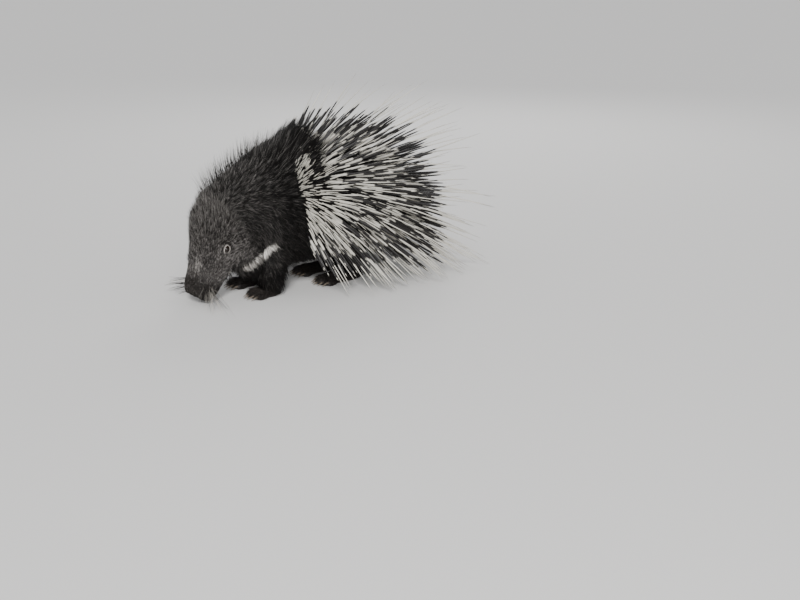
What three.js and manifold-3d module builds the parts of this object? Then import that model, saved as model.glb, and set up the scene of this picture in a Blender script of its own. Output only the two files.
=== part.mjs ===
// A standing Old World porcupine with its head down to the floor, life size, in millimetres.
// +Z is up, the head points along -X and the animal's left side faces -Y.
// The origin is on the floor, under the middle of the whole animal's box.
import * as THREE from "three";
import { mergeVertices } from "three/addons/utils/BufferGeometryUtils.js";
import Module from "manifold-3d";

const wasm = await Module();
wasm.setup();

// Driving sizes
const GAP = 0.3; // space left between two nodes that meet
const BOX_CENTRE = { x: 96, y: -7 }; // middle of the whole animal, in body coordinates
const FLOOR_CLEARANCE = 9; // lowest that a quill or a lock may reach
const CLAW_CLEARANCE = 0.8; // height of the claws' undersides
const HEAD = { pitch: 62, yaw: 3, nose: [-190, -4, 14] }; // degrees, and the place of the nose tip
const EYE = { from: 98, side: 37.5, rise: 3, radius: 7.4, lid: 2.4, opening: [5.6, 4.6] };
const EAR = { from: 136, side: 44, rise: 2, height: 17, width: 12, depth: 7.5, wall: 2.2, lean: 25 };
const NOSTRIL = { from: 1, side: 10, rise: 5, size: [6, 2.2, 4.8] };
const MOUTH = { from: 12, rise: -15, size: [28, 37, 0.9] };
const LIP = { from: 7, side: 13, rise: -8, size: [11, 15, 12] };
const CHIN = { from: 24, rise: -25, size: [17, 18, 8] };
const THROAT = { centre: [-90, -2, 82], size: [38, 50, 36] };
const NECK_FRONT = { point: [-88, 0, 82], normal: [0.844, 0, 0.537] }; // plane behind the jaw
const NECK_BACK = -70; // plane in front of the shoulders
const FOREFEET = [
  { side: "left", x: -72, y: -42, toeIn: -4 },
  { side: "right", x: -72, y: 36, toeIn: 4 },
];
const HINDFEET = [
  { side: "left", x: 88, y: -45, toeIn: -5 },
  { side: "right", x: 84, y: 32, toeIn: 5 },
];
const FOREPAW = { back: 24, width: 17, thick: 12, toes: 4, toeReach: 26, toeRadius: 6.4, fan: 15, split: 26 };
const HINDPAW = { back: 42, width: 17, thick: 13, toes: 5, toeReach: 42, toeRadius: 6, fan: 12, split: 28 };
const CLAW = { length: 14, radius: 2.6, sides: 4, drop: 3.2 };
const QUILL = {
  first: -10, // front edge of the quilled flanks
  ridge: 22, // how far behind it the ridge's first quills stand
  last: 236,
  rowStep: 21.5,
  step: 21,
  lowest: 116, // degrees from the ridge down each flank
  sunk: 9,
  ridgeRise: [60, -8], // degrees above the level, in front and at the rump
  flankRise: [-82, -29],
  slenderRise: 10, // degrees that the long ones on the ridge stand above the others
  splay: [0.62, 0.46], // how far they turn out to the side, in front and at the rump
  thick: { radius: 2.7, length: [92, 160] },
  slender: { radius: 1.5, length: [170, 262], share: 0.42, droop: 0.0006 },
  rumpShare: [0.62, 1.15], // length left at the rump, on the ridge and low on the flanks
};
const LOCK = { width: 23, thick: 3.4, length: 48, sunk: 6 };
const HEAD_LOCK = { width: 18, length: 30, lift: 42 };
const HEAD_LOCK_ROWS = [
  { place: 0.8, lowest: 120, count: 8 },
  { place: 0.9, lowest: 130, count: 9 },
];

// Middle and radius of each station down the limbs, from the foot's own place, and down the tail
const FORELEG = [
  { back: 12, out: 0, z: 6, radius: 12 },
  { back: 13, out: 0, z: 24, radius: 14 },
  { back: 14, out: 3, z: 48, radius: 18 },
  { back: 18, out: 4, z: 84, radius: 27 },
  { back: 24, out: 0, z: 118, radius: 30 },
];
const HINDLEG = [
  { back: 30, out: 0, z: 6, radius: 12 },
  { back: 32, out: 0, z: 26, radius: 14 },
  { back: 24, out: 7, z: 46, radius: 22 },
  { back: 14, out: 10, z: 74, radius: 33 },
  { back: 22, out: 6, z: 116, radius: 38 },
];
const TAIL = [
  [222, 0, 106, 17],
  [244, 0, 96, 15],
  [266, 0, 80, 11],
  [284, 0, 64, 6],
];
const RATTLE = { count: 12, x: 262, z: 82, ring: 7.5, length: 50, radius: 2.6, fall: -0.62, spread: 0.28 };

// Colours of the finished animal
const COLOURS = { coat: 0x241f1b, quill: 0xcfc7b4, claw: 0x4a4038, eye: 0x0a0806, ear: 0x3b322c };

// The trunk from the root of the tail to the neck: the middle of each section with its half width
// and its half height.
const TRUNK = [
  { x: 238, z: 100, wide: 20, high: 20 },
  { x: 226, z: 106, wide: 44, high: 38 },
  { x: 196, z: 117, wide: 70, high: 60 },
  { x: 145, z: 132, wide: 93, high: 82 },
  { x: 80, z: 146, wide: 103, high: 96 },
  { x: 10, z: 151, wide: 102, high: 100 },
  { x: -45, z: 149, wide: 89, high: 92 },
  { x: -84, z: 145, wide: 71, high: 75 },
  { x: -110, z: 134, wide: 57, high: 61 },
  { x: -128, z: 116, wide: 42, high: 48 },
];

// The head along its own axis: distance from the nose tip, half width, height above the axis
// and depth below it.
const SKULL = [
  { from: 0, wide: 20, above: 17, below: 21 },
  { from: 4, wide: 26.5, above: 22, below: 27 },
  { from: 14, wide: 30.5, above: 27, below: 31 },
  { from: 34, wide: 33, above: 31, below: 35 },
  { from: 56, wide: 35, above: 35, below: 40 },
  { from: 80, wide: 38, above: 40, below: 45 },
  { from: 104, wide: 41.5, above: 45, below: 49 },
  { from: 128, wide: 46, above: 46, below: 51 },
  { from: 150, wide: 47, above: 42, below: 50 },
  { from: 168, wide: 38, above: 30, below: 40 },
];

// A seeded random number from 0 to 1
function seeded(seed) {
  let state = seed;
  return () => {
    state = (state + 0x6d2b79f5) | 0;
    let mix = Math.imul(state ^ (state >>> 15), 1 | state);
    mix = (mix + Math.imul(mix ^ (mix >>> 7), 61 | mix)) ^ mix;
    return ((mix ^ (mix >>> 14)) >>> 0) / 4294967296;
  };
}

const vec = (x, y, z) => new THREE.Vector3(x, y, z);
const lerp = THREE.MathUtils.lerp;
const radians = THREE.MathUtils.degToRad;
const smooth = (value, low, high) => THREE.MathUtils.smoothstep(value, low, high);

// Solids and meshes
function solidOf(geometry) {
  const bare = geometry.index ? geometry.toNonIndexed() : geometry.clone();
  bare.deleteAttribute("normal");
  bare.deleteAttribute("uv");
  const merged = mergeVertices(bare, 1e-4);
  return new wasm.Manifold(
    new wasm.Mesh({
      numProp: 3,
      vertProperties: new Float32Array(merged.attributes.position.array),
      triVerts: new Uint32Array(merged.index.array),
    }),
  );
}

function largest(solid) {
  const pieces = solid.decompose();
  return pieces.reduce((best, piece) => (piece.volume() > best.volume() ? piece : best));
}

function union(solids) {
  return solids.reduce((whole, solid) => whole.add(solid));
}

function meshOf(name, solid, colour, roughness) {
  const data = largest(solid).getMesh();
  const geometry = new THREE.BufferGeometry();
  const positions = new Float32Array((data.vertProperties.length / data.numProp) * 3);
  for (let i = 0; i < positions.length / 3; i += 1) {
    for (let axis = 0; axis < 3; axis += 1) {
      positions[3 * i + axis] = data.vertProperties[i * data.numProp + axis];
    }
  }
  geometry.setAttribute("position", new THREE.BufferAttribute(positions, 3));
  geometry.setIndex(new THREE.BufferAttribute(new Uint32Array(data.triVerts), 1));
  geometry.computeVertexNormals();
  const material = new THREE.MeshStandardMaterial({ color: colour, roughness, metalness: 0 });
  const mesh = new THREE.Mesh(geometry, material);
  mesh.name = name;
  return mesh;
}

// A closed skin through rings of points, with a fan over each end. A ring of one point is a tip.
function skinOf(rings) {
  const points = [];
  const faces = [];
  const starts = rings.map((ring) => {
    const start = points.length;
    points.push(...ring);
    return start;
  });
  for (let r = 0; r + 1 < rings.length; r += 1) {
    const count = rings[r].length;
    for (let i = 0; i < count; i += 1) {
      const next = (i + 1) % count;
      const a = starts[r] + i;
      const b = starts[r] + next;
      if (rings[r + 1].length === 1) {
        faces.push([a, b, starts[r + 1]]);
      } else {
        faces.push([a, b, starts[r + 1] + next], [a, starts[r + 1] + next, starts[r + 1] + i]);
      }
    }
  }
  closeEnd(rings[0], starts[0], points, faces, true);
  closeEnd(rings.at(-1), starts.at(-1), points, faces, false);
  return closedSolid(points, faces);
}

function closeEnd(ring, start, points, faces, first) {
  if (ring.length === 1) {
    return;
  }
  if (ring.length <= 4) {
    for (let i = 1; i + 1 < ring.length; i += 1) {
      faces.push(first ? [start, start + i + 1, start + i] : [start, start + i, start + i + 1]);
    }
    return;
  }
  const middle = points.length;
  points.push(ring.reduce((sum, point) => sum.add(point), vec(0, 0, 0)).divideScalar(ring.length));
  for (let i = 0; i < ring.length; i += 1) {
    const next = start + ((i + 1) % ring.length);
    faces.push(first ? [middle, next, start + i] : [middle, start + i, next]);
  }
}

function closedSolid(points, faces) {
  let volume = 0;
  for (const [a, b, c] of faces) {
    volume += points[a].dot(vec(0, 0, 0).crossVectors(points[b], points[c]));
  }
  const order = volume > 0 ? [0, 1, 2] : [0, 2, 1];
  return new wasm.Manifold(
    new wasm.Mesh({
      numProp: 3,
      vertProperties: new Float32Array(points.flatMap((point) => point.toArray())),
      triVerts: new Uint32Array(faces.flatMap((face) => order.map((corner) => face[corner]))),
    }),
  );
}

// A smooth curve through rows of numbers, read at a place from 0 to 1
function smoothRows(rows) {
  const curves = Object.keys(rows[0]).map((key) => {
    const points = rows.map((row, i) => vec(i, row[key], 0));
    return [key, new THREE.CatmullRomCurve3(points, false, "catmullrom", 0.5)];
  });
  return (place) => {
    const values = {};
    for (const [key, curve] of curves) {
      values[key] = curve.getPoint(THREE.MathUtils.clamp(place, 0, 1)).y;
    }
    return values;
  };
}

// Trunk
const trunkRow = smoothRows(TRUNK);

function trunkFrame(place) {
  const row = trunkRow(place);
  const before = trunkRow(Math.max(0, place - 0.02));
  const after = trunkRow(Math.min(1, place + 0.02));
  const forward = vec(after.x - before.x, 0, after.z - before.z).normalize();
  const up = vec(-forward.z, 0, forward.x).multiplyScalar(-1);
  return { row, centre: vec(row.x, 0, row.z), forward, up };
}

// A point on the trunk and the way out of it. The angle runs from the ridge down to the belly,
// negative on the animal's left.
function trunkPoint(place, degrees, extra = 0) {
  const { row, centre, forward, up } = trunkFrame(place);
  const angle = radians(degrees);
  const wide = row.wide + extra;
  const high = row.high + extra;
  const point = centre.clone();
  point.y += wide * Math.sin(angle);
  point.addScaledVector(up, high * Math.cos(angle));
  const out = vec(0, Math.sin(angle) / wide, 0).addScaledVector(up, Math.cos(angle) / high);
  return { point, out: out.normalize(), forward, up };
}

function placeAtX(x) {
  let low = 0;
  let high = 1;
  for (let i = 0; i < 24; i += 1) {
    const middle = (low + high) / 2;
    if (trunkRow(middle).x > x) {
      low = middle;
    } else {
      high = middle;
    }
  }
  return low;
}

function trunkSolid(extra) {
  const steps = 17;
  const sides = 22;
  const rings = [];
  for (let s = 0; s <= steps; s += 1) {
    const ring = [];
    for (let i = 0; i < sides; i += 1) {
      ring.push(trunkPoint(s / steps, (360 * i) / sides, extra).point);
    }
    rings.push(ring);
  }
  return skinOf(rings);
}

// Head
const skullRow = smoothRows(SKULL);
const headTurn = new THREE.Matrix4()
  .makeTranslation(...HEAD.nose)
  .multiply(new THREE.Matrix4().makeRotationZ(radians(HEAD.yaw)))
  .multiply(new THREE.Matrix4().makeRotationY(radians(-HEAD.pitch)));

// A place on the head: back from the nose tip, to the animal's right, and above the axis
function onHead(from, side, rise) {
  return vec(from, side, rise).applyMatrix4(headTurn);
}

function headDirection(from, side, rise) {
  return onHead(from, side, rise).sub(onHead(0, 0, 0)).normalize();
}

// A stretched ball in the head's own directions
function headBall(from, side, rise, size, detail = [10, 6], turn = 0) {
  const ball = new THREE.SphereGeometry(1, ...detail);
  ball.rotateX(Math.PI / 2);
  ball.scale(...size);
  ball.rotateY(turn);
  ball.translate(from, side, rise);
  ball.applyMatrix4(headTurn);
  return solidOf(ball);
}

function skullPoint(place, degrees, extra = 0) {
  const row = skullRow(place);
  const angle = radians(degrees);
  const height = (Math.cos(angle) > 0 ? row.above : row.below) + extra;
  const wide = row.wide + extra;
  return {
    point: onHead(row.from, wide * Math.sin(angle), height * Math.cos(angle)),
    out: headDirection(0, Math.sin(angle) / wide, Math.cos(angle) / height),
  };
}

function skullSolid(extra) {
  const steps = 11;
  const sides = 18;
  const rings = [];
  for (let s = 0; s <= steps; s += 1) {
    const ring = [];
    for (let i = 0; i < sides; i += 1) {
      ring.push(skullPoint(s / steps, (360 * i) / sides, extra).point);
    }
    rings.push(ring);
  }
  return skinOf(rings);
}

function throatSolid(extra) {
  return ball(...THROAT.centre, THROAT.size.map((half) => half + extra), [14, 9]);
}

function withFace(skull) {
  let face = skull;
  for (const side of [-1, 1]) {
    face = face.add(headBall(LIP.from, side * LIP.side, LIP.rise, LIP.size));
    const lids = EYE.radius + EYE.lid;
    face = face.add(headBall(EYE.from, side * EYE.side, EYE.rise, [lids * 1.15, lids, lids]));
  }
  face = face.add(headBall(CHIN.from, 0, CHIN.rise, CHIN.size));
  face = face.subtract(headBall(MOUTH.from, 0, MOUTH.rise, MOUTH.size, [12, 4]));
  for (const side of [-1, 1]) {
    face = face.subtract(headBall(NOSTRIL.from, side * NOSTRIL.side, NOSTRIL.rise, NOSTRIL.size, [8, 6], 0.6));
    const socket = EYE.radius + GAP;
    face = face.subtract(headBall(EYE.from, side * EYE.side, EYE.rise, [socket, socket, socket], [14, 9]));
    const slit = [EYE.opening[0], EYE.radius, EYE.opening[1]];
    face = face.subtract(headBall(EYE.from, side * (EYE.side + EYE.radius), EYE.rise, slit, [12, 6]));
  }
  return face;
}

function earSolid(side, flesh) {
  const make = (size, out) => {
    const cup = new THREE.SphereGeometry(1, 12, 7);
    cup.scale(size[2], size[1], size[0]);
    cup.translate(out, 0, 0);
    cup.rotateY(radians(-EAR.lean));
    cup.rotateZ(side * radians(62));
    cup.translate(EAR.from + 4, side * EAR.side, EAR.rise + EAR.height * 0.55);
    cup.applyMatrix4(headTurn);
    return solidOf(cup);
  };
  const shell = make([EAR.height, EAR.width, EAR.depth], 0);
  const hollow = make([EAR.height - EAR.wall, EAR.width - EAR.wall, EAR.depth - EAR.wall], -EAR.wall * 1.9);
  return largest(shell.subtract(hollow).subtract(flesh));
}

// Legs and feet
function ball(x, y, z, size, detail = [6, 4]) {
  const geometry = new THREE.SphereGeometry(1, ...detail);
  geometry.rotateX(Math.PI / 2);
  geometry.scale(...size);
  geometry.translate(x, y, z);
  return solidOf(geometry);
}

// A round limb through stations of place and radius
function limb(stations, sides = 10) {
  const rings = stations.map(([x, y, z, radius], r) => {
    const before = stations[Math.max(0, r - 1)];
    const after = stations[Math.min(stations.length - 1, r + 1)];
    const along = vec(after[0] - before[0], after[1] - before[1], after[2] - before[2]).normalize();
    const across = vec(0, 1, 0).cross(along).normalize();
    const other = along.clone().cross(across);
    const ring = [];
    for (let i = 0; i < sides; i += 1) {
      const angle = (2 * Math.PI * i) / sides;
      ring.push(
        vec(x, y, z)
          .addScaledVector(across, radius * Math.cos(angle))
          .addScaledVector(other, radius * Math.sin(angle)),
      );
    }
    return ring;
  });
  return skinOf(rings);
}

function toePlaces(paw, foot) {
  const places = [];
  for (let toe = 0; toe < paw.toes; toe += 1) {
    const spread = toe - (paw.toes - 1) / 2;
    const angle = radians(spread * paw.fan + foot.toeIn);
    const reach = paw.toeReach - Math.abs(spread) * 3;
    places.push({
      x: foot.x - reach * Math.cos(angle * 0.6),
      y: foot.y + spread * paw.toeRadius * 1.55,
      angle,
      reach,
    });
  }
  return places;
}

function pawSolid(paw, foot, extra) {
  let solid = ball(foot.x + paw.back * 0.35, foot.y, paw.thick * 0.45, [
    paw.back + extra,
    paw.width + extra,
    paw.thick + extra,
  ], [9, 5]);
  solid = solid.add(ball(foot.x - paw.back * 0.35, foot.y, paw.thick * 0.45, [
    paw.back * 0.8 + extra,
    paw.width + 1 + extra,
    paw.thick - 1 + extra,
  ], [9, 5]));
  for (const toe of toePlaces(paw, foot)) {
    const size = [paw.toeRadius * 2 + extra, paw.toeRadius + extra, paw.toeRadius + 1 + extra];
    solid = solid.add(ball(toe.x + paw.toeRadius, toe.y, paw.toeRadius * 0.7, size));
  }
  return solid.trimByPlane([0, 0, 1], 0);
}

function clawSolid(paw, toe) {
  const tipX = toe.x - paw.toeRadius - CLAW.length + 3;
  const root = vec(toe.x - paw.toeRadius + 5, toe.y, CLAW.drop + CLAW_CLEARANCE + 2);
  const rings = [
    [root, CLAW.radius],
    [vec(lerp(root.x, tipX, 0.55), toe.y, CLAW.drop + CLAW_CLEARANCE + 1), CLAW.radius * 0.8],
  ].map(([centre, radius]) => {
    const ring = [];
    for (let i = 0; i < CLAW.sides; i += 1) {
      const angle = (2 * Math.PI * i) / CLAW.sides;
      ring.push(centre.clone().add(vec(0, radius * 0.8 * Math.cos(angle), radius * Math.sin(angle))));
    }
    return ring;
  });
  return skinOf([...rings, [vec(tipX, toe.y, CLAW_CLEARANCE + 0.3)]]);
}

// One quill: three sides, straight or bent under its own weight, sunk in the flesh at its root
function quillSolid(quill, extra = 0) {
  const { point, direction, length, radius, droop } = quill;
  const across = direction.clone().cross(vec(0.31, 0.86, 0.4)).normalize();
  const other = direction.clone().cross(across);
  const places = droop > 0 ? [0, 0.45, 0.8] : [0, 0.62];
  const widths = droop > 0 ? [0.85, 1, 0.7] : [0.85, 1];
  const at = (t) => {
    const place = point.clone().addScaledVector(direction, lerp(-QUILL.sunk, length + extra, t));
    place.z -= droop * t * t;
    return place;
  };
  const rings = places.map((t, r) => {
    const ring = [];
    for (let i = 0; i < 3; i += 1) {
      const angle = (2 * Math.PI * i) / 3;
      const size = radius * widths[r] + extra;
      ring.push(
        at(t)
          .addScaledVector(across, size * Math.cos(angle))
          .addScaledVector(other, size * Math.sin(angle)),
      );
    }
    return ring;
  });
  return skinOf([...rings, [at(1)]]);
}

// The quills' angle above the level: raised on the ridge, hanging low on the flanks
function quillRise(x, degrees) {
  const back = quillBack(x);
  const ridge = lerp(...QUILL.ridgeRise, Math.pow(back, 0.6));
  const flank = lerp(...QUILL.flankRise, Math.pow(back, 0.7));
  return lerp(ridge, flank, smooth(Math.abs(degrees), 14, 108));
}

// How far back along the quilled part a place is, from 0 to 1
function quillBack(x) {
  return THREE.MathUtils.clamp((x - QUILL.first) / (QUILL.last - QUILL.first), 0, 1);
}

function quillLength(x, degrees, kind) {
  const low = smooth(Math.abs(degrees), 60, QUILL.lowest);
  const top = lerp(...kind.length, smooth(x, -24, 90));
  const rump = lerp(1, lerp(...QUILL.rumpShare, low), smooth(x, 120, QUILL.last));
  return top * rump * lerp(1, 0.85, low);
}

function tipOf(quill) {
  const tip = quill.point.clone().addScaledVector(quill.direction, quill.length);
  tip.z -= quill.droop;
  return tip;
}

// How far along X the next row of quills is, so that rows stay evenly spaced over the rump
function rowAdvance(x) {
  const here = trunkRow(placeAtX(x));
  const next = trunkRow(placeAtX(x + 4));
  return QUILL.rowStep / Math.hypot(1, (next.high - here.high) / 4);
}

function quillList() {
  const random = seeded(41);
  const quills = [];
  let row = 0;
  for (let x = QUILL.first; x <= QUILL.last; x += rowAdvance(x)) {
    const around = trunkRow(placeAtX(x));
    const reach = radians(QUILL.lowest) * ((around.wide + around.high) / 2);
    const count = Math.max(4, Math.round((2 * reach) / QUILL.step));
    for (let i = 0; i < count; i += 1) {
      const share = (i + 0.25 + 0.5 * random() + 0.5 * (row % 2)) / (count + 0.5);
      const degrees = lerp(-QUILL.lowest, QUILL.lowest, Math.min(1, share));
      const spot = x + (random() - 0.5) * rowAdvance(x) * 0.7;
      const front = QUILL.first + QUILL.ridge * (1 - smooth(Math.abs(degrees), 20, 80));
      if (spot >= front - QUILL.rowStep / 2) {
        quills.push(makeQuill(placeAtX(spot), degrees, random));
      }
    }
    row += 1;
  }
  return quills;
}

function makeQuill(place, degrees, random) {
  const { point } = trunkPoint(place, degrees);
  const slender = random() < QUILL.slender.share;
  const kind = slender ? QUILL.slender : QUILL.thick;
  const raised = slender ? QUILL.slenderRise * (1 - smooth(Math.abs(degrees), 20, 90)) : 0;
  const rise = radians(quillRise(point.x, degrees) + raised + (random() - 0.5) * 14);
  const splay = lerp(...QUILL.splay, quillBack(point.x)) * Math.sin(radians(degrees));
  const direction = vec(Math.cos(rise), splay + (random() - 0.5) * 0.2, Math.sin(rise));
  const length = quillLength(point.x, degrees, kind) * lerp(0.82, 1.06, random());
  const radius = kind.radius * (slender ? 1 : lerp(0.85, 1.1, random()));
  const droop = slender ? kind.droop * length * length * lerp(0.2, 1, random()) : 0;
  const quill = { point, direction: direction.normalize(), length, radius, droop };
  while (tipOf(quill).z < FLOOR_CLEARANCE && quill.length > 40) {
    quill.length *= 0.94;
    quill.droop *= 0.88;
  }
  return quill;
}

// One lock of bristles: a flat strip that starts out of the flesh, bends over and tapers
function lockSolid(lock, extra = 0) {
  const { point, out, lie, length, width, lift } = lock;
  const start = out.clone().multiplyScalar(Math.sin(lift)).addScaledVector(lie, Math.cos(lift)).normalize();
  const middle = point.clone().addScaledVector(start, length * 0.52);
  const tip = middle.clone().addScaledVector(lie, length * 0.5 + extra);
  const root = point.clone().addScaledVector(start, -LOCK.sunk / Math.max(0.5, Math.sin(lift)));
  const curve = new THREE.QuadraticBezierCurve3(root, middle, tip);
  const side = lie.clone().cross(out).normalize();
  const rings = [
    [0, 0.75, 1],
    [0.45, 1, 1],
    [0.78, 0.62, 0.62],
  ].map(([t, wide, thick]) => {
    const centre = curve.getPoint(t);
    const face = side.clone().cross(curve.getTangent(t)).normalize();
    const halfWide = (width * wide) / 2 + extra;
    const halfThick = (LOCK.thick * thick) / 2 + extra;
    return [
      centre.clone().addScaledVector(side, halfWide),
      centre.clone().addScaledVector(face, halfThick),
      centre.clone().addScaledVector(side, -halfWide),
      centre.clone().addScaledVector(face, -halfThick),
    ];
  });
  return skinOf([...rings, [curve.getPoint(1)]]);
}

// Locks on the trunk between two places, from the ridge down to the lowest angle on both sides
function trunkLocks(seed, from, to, rowStep, lowest, lieOf, lift) {
  const random = seeded(seed);
  const locks = [];
  let row = 0;
  for (let x = from; x <= to; x += rowStep) {
    const around = trunkRow(placeAtX(x));
    const reach = radians(lowest) * ((around.wide + around.high) / 2);
    const count = Math.max(3, Math.round((2 * reach) / (LOCK.width * 0.98)));
    for (let i = 0; i < count; i += 1) {
      const share = (i + 0.35 + 0.3 * random() + 0.5 * (row % 2)) / (count + 0.5);
      const degrees = lerp(-lowest, lowest, Math.min(1, share));
      const place = placeAtX(x + (random() - 0.5) * rowStep * 0.5);
      const { point, out } = trunkPoint(place, degrees);
      locks.push({
        point,
        out,
        lie: lieOf(point, out, degrees, random),
        length: LOCK.length * lerp(0.8, 1.12, random()),
        width: LOCK.width * lerp(0.85, 1.1, random()),
        lift: radians(lerp(lift[0], lift[1], random())),
      });
    }
    row += 1;
  }
  return locks;
}

// Add each lock or quill that keeps clear of the nodes around it, shortened where that is enough
function grow(core, forms, makeSolid, others) {
  const grown = [core];
  for (const form of forms) {
    for (const share of [1, 0.75, 0.55]) {
      const trial = { ...form, length: form.length * share };
      const fat = makeSolid(trial, GAP);
      const box = fat.boundingBox();
      if (box.min[2] < FLOOR_CLEARANCE - 2) {
        continue;
      }
      if (others.every((other) => fat.intersect(other).volume() < 1e-4)) {
        grown.push(makeSolid(trial));
        break;
      }
    }
  }
  return union(grown);
}

// Flesh
const trunk = trunkSolid(0);
const throat = throatSolid(0);
const headPlane = vec(...NECK_FRONT.normal).normalize();
const headOffset = headPlane.dot(vec(...NECK_FRONT.point));
const behindJaw = headPlane.toArray();
const beforeJaw = headPlane.clone().multiplyScalar(-1).toArray();
const fore = union([trunk, throat, skullSolid(0)]).trimByPlane([-1, 0, 0], -NECK_BACK + GAP / 2);
const headFlesh = largest(withFace(fore.trimByPlane(beforeJaw, -headOffset + GAP / 2)));
const neckFlesh = largest(fore.trimByPlane(behindJaw, headOffset + GAP / 2));
const torsoFlesh = largest(trunk.add(throat).trimByPlane([1, 0, 0], NECK_BACK + GAP / 2));
const fleshGrown = union([trunkSolid(GAP), throatSolid(GAP), skullSolid(GAP)]);

const nodes = [];
const obstacles = [];

function addNode(name, solid, colour, roughness) {
  nodes.push(meshOf(name, solid, colour, roughness));
  return solid;
}

// Eyes and ears
for (const [name, side] of [["left", -1], ["right", 1]]) {
  const size = [EYE.radius, EYE.radius, EYE.radius];
  addNode(`eye_${name}`, headBall(EYE.from, side * EYE.side, EYE.rise, size, [14, 9]), COLOURS.eye, 0.1);
  const ear = earSolid(side, fleshGrown);
  obstacles.push(addNode(`ear_${name}`, ear, COLOURS.ear, 0.8));
}

// Limbs, each with its foot below a thin cut
function addLimb(kind, paw, foot, leg) {
  const out = Math.sign(foot.y);
  const stations = leg.map((step) => [foot.x + step.back, foot.y + out * step.out, step.z, step.radius]);
  const whole = pawSolid(paw, foot, 0).add(limb(stations));
  const footSolid = largest(whole.trimByPlane([0, 0, -1], -paw.split + GAP / 2));
  const legSolid = largest(whole.trimByPlane([0, 0, 1], paw.split + GAP / 2).subtract(fleshGrown));
  obstacles.push(addNode(`${kind}foot_${foot.side}`, footSolid, COLOURS.coat, 0.9));
  obstacles.push(addNode(`${kind}leg_${foot.side}`, legSolid, COLOURS.coat, 0.9));
  const grown = pawSolid(paw, foot, GAP);
  toePlaces(paw, foot).forEach((toe, i) => {
    const claw = largest(clawSolid(paw, toe).subtract(grown));
    addNode(`claw_${kind}_${foot.side}_${i + 1}`, claw, COLOURS.claw, 0.5);
  });
}

for (const foot of FOREFEET) {
  addLimb("fore", FOREPAW, foot, FORELEG);
}
for (const foot of HINDFEET) {
  addLimb("hind", HINDPAW, foot, HINDLEG);
}

// Tail with its short rattle quills
function rattleQuills() {
  const random = seeded(7);
  const quills = [];
  for (let i = 0; i < RATTLE.count; i += 1) {
    const angle = (2 * Math.PI * i) / RATTLE.count;
    const side = Math.sin(angle);
    const up = Math.cos(angle);
    quills.push({
      point: vec(RATTLE.x + 8 * random(), RATTLE.ring * side, RATTLE.z + RATTLE.ring * up),
      direction: vec(0.86, RATTLE.spread * side, RATTLE.fall + RATTLE.spread * up).normalize(),
      length: RATTLE.length * lerp(0.8, 1.1, random()),
      radius: RATTLE.radius,
      droop: 0,
    });
  }
  return quills;
}

const tailCore = limb(TAIL).subtract(fleshGrown);
const tail = largest(grow(tailCore, rattleQuills(), quillSolid, [fleshGrown]));
obstacles.push(addNode("tail", tail, COLOURS.quill, 0.6));

// Torso with its quills, the bristles of the shoulders and the fringe of the flanks
function shoulderLie(point, out, degrees, random) {
  const back = lerp(0.55, 0.2, smooth(point.x, -60, -10));
  return vec(back, 0, -0.15 - 0.5 * Math.abs(Math.sin(radians(degrees))))
    .addScaledVector(out, 0.45)
    .add(vec(0, (random() - 0.5) * 0.3, 0))
    .normalize();
}

function fringeLie(point, out, degrees, random) {
  return vec(0.35 + 0.2 * random(), 0, -1).addScaledVector(out, 0.35).normalize();
}

let torso = grow(torsoFlesh, quillList(), quillSolid, [...obstacles, neckFlesh]);
const shoulderLocks = trunkLocks(11, -58, -14, 20, 138, shoulderLie, [38, 60]);
const flankLocks = trunkLocks(23, 6, 190, 26, 128, fringeLie, [40, 60]).filter(
  (lock) => lock.point.z < 112,
);
torso = grow(torso, [...shoulderLocks, ...flankLocks], lockSolid, [...obstacles, neckFlesh]);
torso = largest(torso);
addNode("torso", torso, COLOURS.quill, 0.5);

// Neck with its crest
function neckLie(point, out, degrees, random) {
  return vec(0.35, 0, 0.1 - 0.5 * Math.abs(Math.sin(radians(degrees))))
    .addScaledVector(out, 0.35)
    .add(vec(0, (random() - 0.5) * 0.3, 0))
    .normalize();
}

const neckLocks = trunkLocks(31, -114, -74, 18, 140, neckLie, [30, 50]);
const neck = largest(grow(neckFlesh, neckLocks, lockSolid, [torso, headFlesh, ...obstacles]));
addNode("neck", neck, COLOURS.coat, 0.9);

// Head with the locks of its crown and cheeks
function headLocks() {
  const random = seeded(53);
  const locks = [];
  for (const { place, lowest, count } of HEAD_LOCK_ROWS) {
    for (let i = 0; i < count; i += 1) {
      const degrees = lerp(-lowest, lowest, (i + 0.3 + 0.4 * random()) / count);
      const { point, out } = skullPoint(place, degrees);
      const lie = headDirection(0.8, 0, 0.1).addScaledVector(out, 0.45).normalize();
      locks.push({ ...HEAD_LOCK, point, out, lie, lift: radians(HEAD_LOCK.lift) });
    }
  }
  return locks;
}

const head = grow(headFlesh, headLocks(), lockSolid, [neck, torso, ...obstacles]);
addNode("head", head, COLOURS.coat, 0.85);

const porcupine = new THREE.Group();
for (const node of nodes) {
  node.position.set(-BOX_CENTRE.x, -BOX_CENTRE.y, 0);
  porcupine.add(node);
}

export default porcupine;
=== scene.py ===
"""A life-size museum model of an Old World porcupine, head lowered to the floor and quills raised."""
import math
from collections import namedtuple

import bmesh
import bpy
import numpy as np
from mathutils import Euler, Matrix, Vector
from mathutils.kdtree import KDTree


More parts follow.
